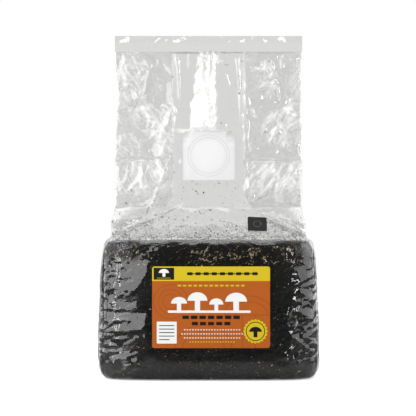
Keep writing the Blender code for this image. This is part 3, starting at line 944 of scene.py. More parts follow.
def neck_relief(bag, chance):
    """Crumpled facets beside the neck's middle and over the shoulder, with the main folds drawn in."""
    x, z = bag.x, bag.z
    upper = bag.neck | bag.shoulder
    panels = bag.front | bag.back
    low_neck = smooth_step(z, 0.190, 0.206)
    relief = np.zeros_like(x)
    for part, share in (
        (bag.front, 1.0),
        (bag.back, 1.0),
        (bag.right_gusset, GUSSET_SHARE),
        (bag.left_gusset, GUSSET_SHARE),
    ):
        for half in (-1, 1):
            left, right = sorted((half * WING_INNER, half * WING_OUTER))
            area = (left, WING_LOW), (right, WING_TOP)
            facets = sum(pleats(x, z, chance, *area, *row) for row in WING_PLEATS)
            relief += np.where(part & bag.neck, facets * bag.wings * low_neck * share, 0.0)
        relief += np.where(part & bag.neck, pleats(x, z, chance, *QUIET_PLEATS), 0.0)
        drawn = pleats(x, z, chance, *HIP_PLEATS) + pleats(x, z, chance, *DRAWN_PLEATS)
        relief += np.where(part & upper, drawn * share, 0.0)
    relief += np.where(upper, 0.0011 * bag.wave * smooth_step(z, 0.150, 0.175), 0.0)
    for fold in NECK_FOLDS:
        relief += np.where(upper & bag.front, crease(x, z, *fold), 0.0)
        relief += np.where(upper & bag.back, crease(0.006 - x, z, *fold), 0.0)
    line = FOLD_LINE_HEIGHT + 0.0012 * np.sin(x * 60.0)
    relief -= np.where(bag.neck, (0.0008 + 0.0020 * bag.wings) * np.exp(-np.abs(z - line) / 0.0024), 0.0)
    hip = HIP_LINE_HEIGHT + 0.0016 * np.sin(x * 95.0) + 0.001 * bag.wave
    return relief + np.where(upper & panels, 0.0008 * np.exp(-np.abs(z - hip) / 0.0016), 0.0)


def block_relief(bag, chance):
    """Creases of the film wrapped round the block: its front half, and its back half turned round."""
    x, y, z = bag.x, bag.y, bag.z
    turned_side = np.sign(x) * (CORNER_START + np.abs(np.abs(y) - CORNER_DEPTH))
    around_x = np.where(np.abs(x) > CORNER_START, turned_side, x)
    off_corner = np.abs(np.abs(x) - CORNER_LINE - 0.0012 * bag.wave)
    corner_line = -0.0010 * np.exp(-off_corner / 0.0011)
    corner_line += 0.0005 * np.exp(-np.abs(off_corner - 0.0034) / 0.0013)
    relief = np.zeros_like(x)
    for half, turn in ((y < 0, 1.0), (y >= 0, -1.0)):
        place = around_x * turn
        made = sum(pleats(place, z, chance, *row, BLOCK_SPREAD) for row in BLOCK_PLEATS)
        calm = smooth_step(place, -0.094, -0.066) * (1 - smooth_step(place, 0.060, 0.074))
        made = np.where(z < CALM_TOP, made * (1 - 0.9 * calm), made)
        for swale in BLOCK_SWALES:
            made += rounded_fold(x * turn, z, *swale)
        made += 0.0006 * bag.wave * smooth_step(z, 0.0, 0.03)
        made += 0.0009 * bag.rough * np.exp(-(((z - 0.018) / 0.012) ** 2))
        made += np.where((z > 0.008) & (z < 0.142), corner_line, 0.0)
        for fold in BLOCK_FOLDS:
            made += crease(x * turn, z, *fold)
        relief = np.where(half, made, relief)
    return np.where(bag.block, np.clip(relief, -DEEPEST_HOLLOW, None), 0.0)


def film_relief(bag):
    """How far each point of the film stands out in folds."""
    x, z = bag.x, bag.z
    chance = random.Random(SEED + 2)
    relief = neck_relief(bag, chance) + block_relief(bag, chance)
    fitted = np.maximum.reduce([near_box(x, z, *box) for box in FLAT_PLACES])
    relief *= np.where(bag.front, 1 - fitted, 1.0)
    relief *= smooth_step(z, 0.0, 0.004)
    relief *= np.where(bag.neck, 1 - 0.8 * smooth_step(z, 0.342, 0.3525), 1.0)
    relief *= np.where(bag.neck, smooth_step(bag.off_crease, 0.0, 0.0045), 1.0)
    for panel, behind in ((bag.front, False), (bag.back, True)):
        tufts = pleats(x, z, chance, *TUFTS) * (1 - smooth_step(z, 0.3500, 0.3525))
        relief += np.where(panel & bag.neck, middle_ramp(x, z, behind) + tufts, 0.0)
    return relief


def neck_haze_and_sheen(bag, streak, torn):
    """Milky streaks and painted sheen in the clouded areas of the neck, and a painted highlight down its
    middle: a white strip where the lamp's reflection runs.
    """
    x, z = bag.x, bag.z
    cloud = np.zeros_like(x)
    for middle_x, middle_z, wide, tall, strength in CLOUDS_AND_SHEEN:
        off = np.hypot((x - middle_x) / wide, (z - middle_z) / tall) + torn
        cloud = np.maximum(cloud, strength * (1 - smooth_step(off, 0.45, 1.25)))
    # Painted highlight: the middle strip is made white diffuse to stand in for the lamp's reflection in it.
    left, right, foot = middle_strip(x, z)
    strip_highlight = smooth_step(x, left, left + 0.0012) * (1 - smooth_step(x, right - 0.0012, right))
    for at, _ in STRIP_SPLITS:
        split = left + (at + 0.03 * bag.wave) * (right - left)
        strip_highlight *= 1 - smooth_step(z, 0.322, 0.336) * np.exp(-(((x - split) / 0.0014) ** 2))
    strip_highlight *= 0.45 + 0.50 * streak
    haze_and_sheen = 0.035 + (0.18 + 0.10 * streak + cloud * (0.06 + 0.84 * streak)) * bag.wings
    return haze_and_sheen + np.where(bag.front, strip_highlight * smooth_step(z, foot - 0.003, foot + 0.003), 0.0)


def damp_and_shaded_corner(bag):
    """Where the film clings to the damp block: top left and high up at the right, and a painted shade line
    at the left corner, where the film's reflection is taken away.
    """
    x, z, wave = bag.x, bag.z, bag.wave
    damp = 0.85 * smooth_step(-x, 0.066, 0.080) * smooth_step(z + 0.010 * wave, 0.124, 0.130)
    outer = x + 0.010 * wave - 0.010 * smooth_step(z, 0.118, 0.126)
    at_right = smooth_step(x, 0.066, 0.072) * (1 - smooth_step(outer, 0.086, 0.094))
    damp += 0.85 * at_right * smooth_step(z, 0.085, 0.100)
    # Painted shade: a line along the left corner's crease where the film's reflection is cut, which darkens
    # it.
    corner = np.exp(-(((x + SHADED_CORNER_LINE + 0.0010 * wave) / 0.0013) ** 2))
    return np.where(bag.block & (bag.y < 0), np.maximum(damp, 0.95 * corner), 0.0)


def film_looks(bag, rings):
    """How hazy, dusty and creased the film is at each point, its haze holding painted sheen and highlights
    too, and how closely it clings there, which also carries a painted shade line at the left corner and
    painted light over the patch's rolled corners.
    """
    x, z = bag.x, bag.z
    streak, torn = streaks(x, z)
    over_patch = bag.front & (near_box(x, z, PATCH_LOW, PATCH_HIGH, 0.001) > 0)
    # Painted light: the film over the patch's rolled-back corners counts as fused too, so it is clearer
    # there and their shade is lifted.
    fused_and_lifted = touching("filter_patch", rings, over_patch)
    # Painted highlights: white streaks on the block's side walls, standing in for the lamps' reflections in
    # the film's creases.
    walls = smooth_step(-x, 0.066, 0.090) + 0.5 * smooth_step(x, 0.088, 0.100)
    wall_streak_highlights = 0.20 * smooth_step(streak, 0.48, 0.95) * walls
    haze_and_sheen = np.select([bag.neck, bag.block], [neck_haze_and_sheen(bag, streak, torn), wall_streak_highlights], SHOULDER_HAZE)
    haze_and_sheen *= np.where(bag.front | bag.back, 1.0, 0.6) * (1 - fused_and_lifted)
    dust = np.where(bag.shoulder, 0.30 * (1 - smooth_step(z, 0.149, 0.158)), 0.0)
    side_creases = 0.05 + smooth_step(x, 0.070, 0.088) + 1.25 * (1 - smooth_step(x, -0.096, -0.074))
    creased = np.select([bag.neck, bag.block], [0.75 * bag.wings, side_creases], 0.4)
    return {"haze_and_sheen": haze_and_sheen, "dust": dust, "creased": creased, "clinging_and_shade": fused_and_lifted + damp_and_shaded_corner(bag)}


def make_film(sizes, colours):
    """The film, lofted finely and folded, with the vent hole behind the filter patch."""
    rings, zones, lengths, signs = film_rings(sizes, *FILM_PITCHES)
    bag = bag_parts(sizes, rings, zones, lengths, signs)
    looks = film_looks(bag, rings)
    rings = rings + ring_normals(rings) * film_relief(bag)[..., None]
    rings[..., 2] = np.maximum(rings[..., 2], 0.0)
    rings, inside = snap_to_hole(rings, (0.0, (PATCH_LOW.z + PATCH_HIGH.z) / 2), VENT_RADIUS)
    film = grid_mesh("film_bag", rings, cap_low=True, inside=inside)
    for name, values in looks.items():
        give_attribute(film, name, values[~inside])
    film.data.materials.append(film_material(colours))
    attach(film, "root")
    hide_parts("bag_film")


def film_material(colours):
    """Clear film: it lets the light through, mirrors a little, and turns white where it is creased, partly
    as real milkiness and partly as painted sheen and highlights.
    """
    made, tree, place = new_material("clear_creased_film")
    crumple = add_node(tree, "ShaderNodeGroup", node_tree=film_crumple_group()).outputs
    lifted = times(tree, crumple["Height"], attribute(tree, "creased"))
    normal = bump_normal(tree, lifted, 0.0008)

    clinging_and_shade = attribute(tree, "clinging_and_shade")
    passed = mix_colour(tree, clinging_and_shade, colours.film, (0.995, 0.995, 0.995))
    clear = shader(tree, "ShaderNodeBsdfTransparent", {"Color": passed})
    # Painted sheen and highlights: the film turns white diffuse where it is marked hazy and on its sharpest
    # creases, standing in for reflections in crumpled film.
    inputs = {"Roughness": 0.45, "Base Color": colours.haze_and_sheen, "Normal": normal}
    haze_and_sheen_surface = principled(tree, inputs)
    inputs = {"Roughness": 0.035, "Color": WHITE, "Normal": normal}
    shine = shader(tree, "ShaderNodeBsdfAnisotropic", inputs)
    ridges = plus(tree, times(tree, crumple["Ridges"], 0.45), 0.42)
    whitened = times(tree, attribute(tree, "haze_and_sheen"), ridges, clamp=True)
    body = mix_shader(tree, whitened, clear, haze_and_sheen_surface)

    grime = principled(tree, {"Roughness": 0.8, "Base Color": (0.16, 0.155, 0.15)})
    specks = ramp(tree, noise_texture(tree, place, 420.0, 5.0, 0.7), ((0.42, 0.0), (0.75, 1.0)))
    dust = times(tree, attribute(tree, "dust"), specks, clamp=True)
    dusty = mix_shader(tree, dust, body, grime)

    mirror = shader(tree, "ShaderNodeFresnel", {"IOR": 1.49, "Normal": normal})
    both_faces = math_node(tree, "MINIMUM", times(tree, mirror, 1.9), 0.45)
    # Less reflection where the film clings, and along the painted shade line at the left corner.
    loose = minus(tree, 1.0, times(tree, clinging_and_shade, 0.85))
    surface(tree, mix_shader(tree, times(tree, both_faces, loose), dusty, shine))
    return made


def make_seal(sizes, colours):
    """The fused band across the top and the loose lip over it."""
    half = sizes.panel_width / 2
    foot, band_top, top = sizes.seal_height, sizes.seal_height + sizes.seal_band, FILM_HIGH.z
    across = np.linspace(-half, half, 130)
    wave = np.array([wobble(x / 0.021, 0.0, 3.0) for x in across])
    band = np.linspace(foot - 0.0003, band_top, 10)
    lip = np.linspace(band_top + 0.0004, top, 8)
    rings = []
    for z in (*band, *lip):
        thick = sizes.seal_thickness / 2 if z <= band_top else LIP_HALF_THICKNESS
        middle = LIP_SWAY * wave * max(0.0, (z - band_top) / (top - band_top))
        height = np.full_like(across, z) - (LIP_DROP * np.abs(wave) if z == top else 0.0)
        fronts = np.stack([across, middle - thick, height], axis=1)
        backs = np.stack([across, middle + thick, height], axis=1)[::-1]
        rings.append(np.concatenate([fronts, backs]))
    seal = grid_mesh("heat_seal", np.array(rings), cap_low=True, cap_high=True)
    seal.data.materials.append(seal_material(band_top, colours))
    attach(seal, "root")


def seal_material(band_top, colours):
    """Film fused by the sealing bar: even and matt in the band, clear and glinting in the lip."""
    made, tree, place = new_material("fused_film")
    lip = math_node(tree, "GREATER_THAN", split_place(tree, place)["Z"], band_top)
    glint = noise_texture(tree, place, 95.0, 4.0, distortion=0.6)
    glints = ramp(tree, glint, ((0.59, 0.0), (0.64, 1.0)))
    clear = shader(tree, "ShaderNodeBsdfTransparent", {"Color": (0.89, 0.89, 0.885)})
    normal = bump_normal(tree, noise_texture(tree, place, 900.0, 2.0), 0.0003, 0.3)
    inputs = {"Roughness": 0.5, "Base Color": colours.haze_and_sheen, "Normal": normal}
    haze_and_sheen_surface = principled(tree, inputs)
    band = times(tree, minus(tree, 1.0, lip), 0.05)
    glinting = plus(tree, times(tree, glints, 0.75), 0.02)
    whitened = plus(tree, band, times(tree, lip, glinting), clamp=True)
    surface(tree, mix_shader(tree, whitened, clear, haze_and_sheen_surface))
    return made


# Substrate


def substrate_rings(sizes):
    """Rings up the walls of the block, a little inside the film."""
    lengths, signs = ring_layout(sizes, *BLOCK_PITCHES)
    levels = [z for z in block_levels(sizes, BLOCK_PITCHES[1]) if 0.0 < z < BLOCK_HIGH.z - 0.001]
    rings = swell(sizes, np.array([section_quarter(sizes, z, lengths) for z in levels]) * signs)
    rings = rings - ring_normals(rings) * BLOCK_GAP
    corner = round_over(sizes.block_height - rings[..., 2], TOP_ROUND, CRUST_INSET)
    rings[..., 0] -= np.sign(rings[..., 0]) * corner
    return rings


def roughen(rings, grain):
    """Pits between the grains, always inwards, so that nothing reaches the film."""
    normals = ring_normals(rings)
    out = rings.copy()
    for k, i in np.ndindex(rings.shape[:2]):
        place = Vector(rings[k, i])
        pit = ridged(place, grain.grain_pitch * 2.2, 5.0, octaves=2)
        hollow = max(0.0, noise.noise(place / 0.012)) * 0.8
        out[k, i] -= normals[k, i] * grain.grain_depth * (0.5 - 0.5 * pit + hollow)
    return out


def crust_height(place):
    """How far the loose top of the substrate lies over the walls' last ring."""
    coarse = noise.noise(Vector((place.x, place.y, 0.0)) / 0.016)
    return 0.0006 + 0.0011 * coarse + 0.0016 * ridged((place.x, place.y, 0.0), 0.0085, 9.0, 3)


def make_substrate(sizes, grain, colours):
    """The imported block, with pits between its grains and a loose crust on top."""
    rings = roughen(substrate_rings(sizes), grain)
    edge, crust = rings[-1], []
    level = edge[:, 2].mean()
    for k in range(1, CRUST_ROWS):
        share = math.cos(math.pi / 2 * k / CRUST_ROWS)
        row = edge * (share, share, 1.0)
        row[:, 2] = [level + crust_height(Vector(point)) for point in row]
        crust.append(row)
    rings = np.concatenate([rings, np.array(crust)])
    block = grid_mesh("substrate_mass", rings, cap_low=True, cap_high=True)
    block.data.materials.append(substrate_material(colours))
    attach(block, "root")
    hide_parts("substrate_block")


def substrate_material(colours):
    """Damp dark substrate: near black, with browner crumbs and a few wet glints."""
    made, tree, place = new_material("damp_substrate")
    grain = noise_texture(tree, place, 420.0, 6.0, 0.65)
    fibre = noise_texture(tree, place, 160.0, 4.0, distortion=1.5)
    broad = noise_texture(tree, place, 45.0, 3.0)
    clod = add_node(tree, "ShaderNodeTexVoronoi", {"Vector": place, "Scale": 620.0}).outputs

    fibres = ramp(tree, fibre, ((0.52, 0.0), (0.78, 0.8)))
    brown = mix_colour(tree, fibres, colours.substrate, (0.020, 0.0155, 0.010))
    grains = ramp(tree, grain, ((0.35, 0.0), (0.72, 1.0)))
    shade = mix_colour(tree, grains, (0.002, 0.002, 0.002), brown)
    tone = add_node(tree, "ShaderNodeSeparateColor", {0: clod["Color"]}).outputs[0]
    pale = ramp(tree, tone, ((0.66, 0.0), (0.86, 0.30), (0.98, 1.0)))
    inner = ramp(tree, clod["Distance"], ((0.25, 1.0), (0.55, 0.0)))
    patchy = ramp(tree, broad, ((0.35, 0.25), (0.65, 1.0)))
    lit = times(tree, times(tree, pale, inner), patchy)
    pits = minus(tree, grain, clod["Distance"])
    inputs = {
        "Base Color": mix_colour(tree, lit, shade, (0.12, 0.112, 0.10)),
        "Roughness": ramp(tree, grain, ((0.30, 0.45), (0.75, 0.9))),
        "Specular IOR Level": 0.22,
        "Normal": bump_normal(tree, pits, 0.0007, 0.9),
    }
    surface(tree, principled(tree, inputs))
    return made


def flake_shape(chance, size):
    """A thin crooked chip with four to six corners, lying in the XY plane."""
    corners = chance.randint(4, 6)
    long, short = size, size * chance.uniform(0.25, 0.6)
    outline = []
    for k in range(corners):
        turn = 2 * math.pi * (k + chance.uniform(-0.25, 0.25)) / corners
        reach = chance.uniform(0.75, 1.1)
        outline.append(Vector((long * math.cos(turn) * reach, short * math.sin(turn) * reach, 0.0)) / 2)
    return outline


def add_chip(bm, outline, frame_matrix, thickness):
    """One chip as a closed slab with its own corners."""
    low = [bm.verts.new(frame_matrix @ p) for p in outline]
    high = [bm.verts.new(frame_matrix @ (p + Vector((0, 0, thickness)))) for p in outline]
    bm.faces.new(list(reversed(low)))
    bm.faces.new(high)
    for i in range(len(low)):
        j = (i + 1) % len(low)
        bm.faces.new((low[i], low[j], high[j], high[i]))


def surface_frame(point, normal, turn):
    """A place on a surface, turned about its normal."""
    side = normal.orthogonal().normalized()
    up = normal.cross(side)
    base = Matrix((side, up, normal)).transposed().to_4x4()
    return Matrix.Translation(point) @ base @ Matrix.Rotation(turn, 4, "Z")


# The height and the half width of the band where flakes are thickest.
FLAKE_BAND, FLAKE_BAND_HALF = 0.1345, 0.0085
CHIP_THICKNESS = 0.00018


def make_flakes(sizes, grain, colours):
    """Golden mineral flakes pressed against the film, thickest under the front's top edge."""
    chance = random.Random(SEED)
    rings = substrate_rings(sizes)
    normals = ring_normals(rings)
    levels, around = rings.shape[:2]
    bm = bmesh.new()
    made = 0
    while made < grain.flakes:
        k, i = chance.randrange(1, levels - 2), chance.randrange(around)
        up, across = chance.random(), chance.random()
        point = Vector(rings[k, i]).lerp(Vector(rings[k + 1, i]), up)
        point += (Vector(rings[k, (i + 1) % around]) - Vector(rings[k, i])) * across
        normal = Vector(normals[k, i]).normalized()
        facing = abs(normal.y) > 0.6
        streak = math.exp(-(((point.z - FLAKE_BAND) / FLAKE_BAND_HALF) ** 2))
        spread = 1.0 if -0.02 < point.x < 0.088 else 0.35
        patchy = Vector((point.x / 0.012, point.y / 0.012, point.z / 0.0042))
        cluster = max(0.0, 2.4 * noise.noise(patchy) + 0.12) + 0.06
        wanted = (0.030 + 1.2 * streak * spread * (1.0 if facing else 0.4)) * cluster
        if chance.random() > wanted:
            continue
        least, most = (0.0006, 0.0017) if chance.random() < 0.72 else (0.0017, 0.0036)
        size = chance.uniform(least, most)
        turn = chance.gauss(0.0, 0.5) if chance.random() < 0.6 else chance.uniform(0, math.pi)
        place = surface_frame(point + normal * 0.0001, normal, turn)
        tip = Matrix.Rotation(chance.gauss(0.0, 0.16), 4, "X")
        add_chip(bm, flake_shape(chance, size), place @ tip, CHIP_THICKNESS)
        made += 1
    flakes = piece_from(bm, "mineral_flakes")
    flakes.data.materials.append(flake_material(colours))
    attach(flakes, "root")


def piece_from(bm, name):
    """A finished mesh as an object of the scene."""
    mesh = bpy.data.meshes.new(name)
    bmesh.ops.recalc_face_normals(bm, faces=bm.faces)
    bm.to_mesh(mesh)
    bm.free()
    made = bpy.data.objects.new(name, mesh)
    bpy.context.scene.collection.objects.link(made)
    return made


def flake_material(colours):
    """Golden flakes, darker in patches."""
    made, tree, place = new_material("golden_mineral_flakes")
    tone = ramp(tree, noise_texture(tree, place, 300.0, 3.0), ((0.35, 0.0), (0.65, 1.0)))
    inputs = {"Roughness": 0.42, "Base Color": mix_colour(tree, tone, (0.12, 0.075, 0.03), colours.flake)}
    surface(tree, principled(tree, inputs))
    return made


CUBE_FACES = ((0, 1, 3, 2), (4, 6, 7, 5), (0, 4, 5, 1), (2, 3, 7, 6), (0, 2, 6, 4), (1, 5, 7, 3))


def add_grain(bm, chance, place, size):
    """A crumb: a small cube with its corners knocked about."""
    corners = []
    for x, y, z in product((-1, 1), repeat=3):
        reach = chance.uniform(0.5, 1.2), chance.uniform(0.4, 1.0), chance.uniform(0.3, 0.8)
        corner = Vector((x * reach[0], y * reach[1], z * reach[2])) * size / 2
        corners.append(bm.verts.new(place @ corner))
    for face in CUBE_FACES:
        bm.faces.new([corners[n] for n in face])


# Lines on the shoulder's front where crumbs have gathered, as (start, end, width).
DRIFTS = (
    ((-0.100, 0.151), (-0.048, 0.176), 0.0016),
    ((-0.052, 0.173), (-0.044, 0.180), 0.0012),
    ((0.062, 0.168), (0.106, 0.152), 0.0016),
    ((-0.104, 0.1505), (0.104, 0.1505), 0.0012),
)


def drift(x, z):
    """How much a place on the shoulder gathers crumbs."""
    most = 0.0
    for (x0, z0), (x1, z1), width in DRIFTS:
        dx, dz = x1 - x0, z1 - z0
        along = max(0.0, min(1.0, ((x - x0) * dx + (z - z0) * dz) / (dx * dx + dz * dz)))
        off = math.hypot(x - x0 - along * dx, z - z0 - along * dz)
        most = max(most, math.exp(-off / width))
    return most


# Crumbs on the film are thickest low down: from which height they thin out, and how fast.
CRUMBS_LOW, CRUMBS_FADE = 0.150, 0.020


def make_crumbs(sizes, grain):
    """Loose crumbs: on the inside of the film, drifted along its folds, and on top of the block."""
    chance = random.Random(SEED + 1)
    rings, zones, lengths, _ = film_rings(sizes, *CRUMB_PITCHES)
    normals = ring_normals(rings)
    levels = [k for k, name in enumerate(zones) if name != "block"]
    panel = np.nonzero(lengths < sizes.panel_width / 2)[0]
    bm = bmesh.new()
    made = 0
    while made < grain.crumbs:
        k, i = chance.choice(levels), int(chance.choice(panel))
        point, normal = Vector(rings[k, i]), Vector(normals[k, i]).normalized()
        low = math.exp(-max(0.0, point.z - CRUMBS_LOW) / CRUMBS_FADE)
        near_middle = abs(point.x) < PATCH_HIGH.x + 0.001
        over_patch = near_middle and PATCH_LOW.z - 0.001 < point.z < PATCH_HIGH.z + 0.003
        if over_patch or chance.random() > 0.75 * drift(point.x, point.z) + 0.16 * low + 0.003:
            continue
        least, most = (0.0005, 0.0011) if chance.random() < 0.76 else (0.0011, 0.0020)
        size = chance.uniform(least, most)
        point += normal.orthogonal().normalized() * chance.uniform(-0.001, 0.001)
        point -= normal * (size * 0.5 + 0.0003)
        add_grain(bm, chance, surface_frame(point, normal, chance.uniform(0, math.pi)), size)
        made += 1
    half_width, half_depth = BLOCK_HIGH.x - 0.012, BLOCK_HIGH.y - 0.010
    upwards = Vector((0.0, 0.0, 1.0))
    for _ in range(grain.crust_crumbs):
        across, deep = chance.uniform(-1.0, 1.0), chance.uniform(-1.0, 1.0)
        if across**4 + deep**4 > 1.0:
            continue
        size = chance.uniform(0.0012, 0.0034)
        point = Vector((across * half_width, deep * half_depth, BLOCK_HIGH.z - 0.0016))
        point.z += crust_height(point) * 0.7
        add_grain(bm, chance, surface_frame(point, upwards, chance.uniform(0, math.pi)), size)
    crumbs = piece_from(bm, "loose_crumbs")
    crumbs.data.materials.append(crumb_material())
    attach(crumbs, "root")


def crumb_material():
    """Dry crumbs, browner than the damp block."""
    made, tree, place = new_material("dry_crumbs")
    tone = noise_texture(tree, place, 700.0, 3.0)
    shade = mix_colour(tree, tone, (0.02, 0.018, 0.016), (0.09, 0.075, 0.06))
    surface(tree, principled(tree, {"Roughness": 0.85, "Base Color": shade}))
    return made


# Fittings


def dress_node(name, material):
    """Gives a CAD node its finished material."""
    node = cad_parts[name]
    node.data.materials.clear()
    node.data.materials.append(material)


def make_filter(colours):
    """The filter sheet: pale felted fibre with two pressed rings."""
    made, tree, place = new_material("filter_sheet")
    at = split_place(tree, place)
    centre = (PATCH_LOW.z + PATCH_HIGH.z) / 2
    reach = reach_of(tree, at["X"], minus(tree, at["Z"], centre))
    outer, inner = round_line(tree, reach, 0.0224, 0.00035), round_line(tree, reach, 0.0194, 0.0003)
    rings = times(tree, math_node(tree, "MAXIMUM", outer, inner), 0.5)
    cloud = noise_texture(tree, place, 90.0, 3.0)
    paper = mix_colour(tree, cloud, colours.filter_sheet, (0.69, 0.685, 0.69))
    fibre = noise_texture(tree, place, 1300.0, 4.0, distortion=2.0)
    inputs = {
        "Base Color": mix_colour(tree, rings, paper, (0.50, 0.475, 0.48)),
        "Roughness": 0.9,
        "Specular IOR Level": 0.2,
        "Normal": bump_normal(tree, fibre, 0.0002, 0.35),
    }
    surface(tree, principled(tree, inputs))
    dress_node("filter_patch", made)


def make_port(colours):
    """The port's rubber: near black with a pale bloom, and paler along its target ring."""
    made, tree, place = new_material("port_rubber")
    bloom = noise_texture(tree, place, 140.0, 4.0)
    at = split_place(tree, place)
    middle = (PORT_LOW + PORT_HIGH) / 2
    across = minus(tree, at["X"], middle.x)
    lean = times(tree, minus(tree, at["Z"], middle.z), math.sqrt(2.0))
    ring = round_line(tree, reach_of(tree, across, lean), 0.004, 0.0005)
    shade = mix_colour(tree, bloom, colours.rubber, (0.022, 0.021, 0.021))
    inputs = {
        "Base Color": mix_colour(tree, ring, shade, (0.085, 0.08, 0.08)),
        "Roughness": ramp(tree, bloom, ((0.3, 0.50), (0.7, 0.70))),
        "Specular IOR Level": 0.12,
        "Normal": bump_normal(tree, noise_texture(tree, place, 900.0, 4.0), 0.0002, 0.25),
    }
    surface(tree, principled(tree, inputs))
    dress_node("injection_port", made)


# How soft the print's edges are, in millimetres, and how deep a scalloped disc is cut in.
PRINT_SOFTNESS, PETAL_DEPTH = 0.16, 0.05


def print_edge(tree, past):
    """A print's soft-edged mask, from how many millimetres a place lies past its outline."""
    return plus(tree, math_node(tree, "DIVIDE", past, -PRINT_SOFTNESS), 0.5, clamp=True)


def print_row_group():
    """A printed row of rounded bars, or a single bar where the pitch is wide. Sizes in millimetres."""
    sockets = ("X", "Z", "Across", "Up", "Half Span", "Pitch", "Half Width", "Half Height", "Round")
    group, entry, leave = new_group("print_row", sockets, ("Mask",))
    along = minus(group, entry["X"], entry["Across"])
    step = math_node(group, "ROUND", math_node(group, "DIVIDE", along, entry["Pitch"]))
    folded = minus(group, along, times(group, step, entry["Pitch"]))
    up = minus(group, entry["Z"], entry["Up"])
    beyond = []
    for value, half in ((folded, entry["Half Width"]), (up, entry["Half Height"])):
        straight = minus(group, half, entry["Round"])
        off = minus(group, math_node(group, "ABSOLUTE", value), straight)
        beyond.append(math_node(group, "MAXIMUM", off, 0.0))
    mask = print_edge(group, minus(group, reach_of(group, *beyond), entry["Round"]))
    within = math_node(group, "LESS_THAN", math_node(group, "ABSOLUTE", along), entry["Half Span"])
    set_input(group, leave["Mask"], times(group, mask, within))
    return group


def print_disc_group():
    """A printed disc, cap, ring or scalloped disc. Sizes in millimetres."""
    sockets = ("X", "Z", "Across", "Up", "Half Width", "Half Height", "Foot", "Line", "Petals")
    group, entry, leave = new_group("print_disc", sockets, ("Mask",))
    across = minus(group, entry["X"], entry["Across"])
    up = minus(group, entry["Z"], entry["Up"])
    wide = math_node(group, "DIVIDE", across, entry["Half Width"])
    tall = math_node(group, "DIVIDE", up, entry["Half Height"])
    angle = math_node(group, "ARCTAN2", up, across)
    wave = math_node(group, "COSINE", times(group, angle, entry["Petals"]))
    petals = times(group, wave, math_node(group, "GREATER_THAN", entry["Petals"], 0.5))
    outline = plus(group, times(group, petals, PETAL_DEPTH), 1.0)
    past = minus(group, reach_of(group, wide, tall), outline)
    off = times(group, past, entry["Half Height"])
    ring = minus(group, math_node(group, "ABSOLUTE", off), entry["Line"])
    lined = math_node(group, "GREATER_THAN", entry["Line"], 0.001)
    change = times(group, lined, minus(group, ring, off))
    mask = print_edge(group, plus(group, off, change))
    above = math_node(group, "GREATER_THAN", up, entry["Foot"])
    set_input(group, leave["Mask"], times(group, mask, above))
    return group


def bar(colour, across, up, half_width, half_height, rounding=0.3, half_span=100.0, pitch=1000.0):
    """A printed bar, or a row of them where the pitch is given."""
    return "row", colour, (across, up, half_span, pitch, half_width, half_height, rounding)


def disc(colour, across, up, half_width, half_height, foot=-100.0, line=0.0, petals=0.0):
    """A printed disc, cut off below its foot, or only its outline where a line width is given."""
    return "disc", colour, (across, up, half_width, half_height, foot, line, petals)


def mushroom(colour, across, foot, cap_width, cap_height, stem_width, stem_height):
    """A plain mushroom: half an ellipse on a rounded bar."""
    cap_foot = foot + stem_height
    return (
        bar(colour, across, foot + stem_height / 2, stem_width / 2, stem_height / 2 + 0.6, 0.8),
        disc(colour, across, cap_foot, cap_width / 2, cap_height, foot=0.0),
    )


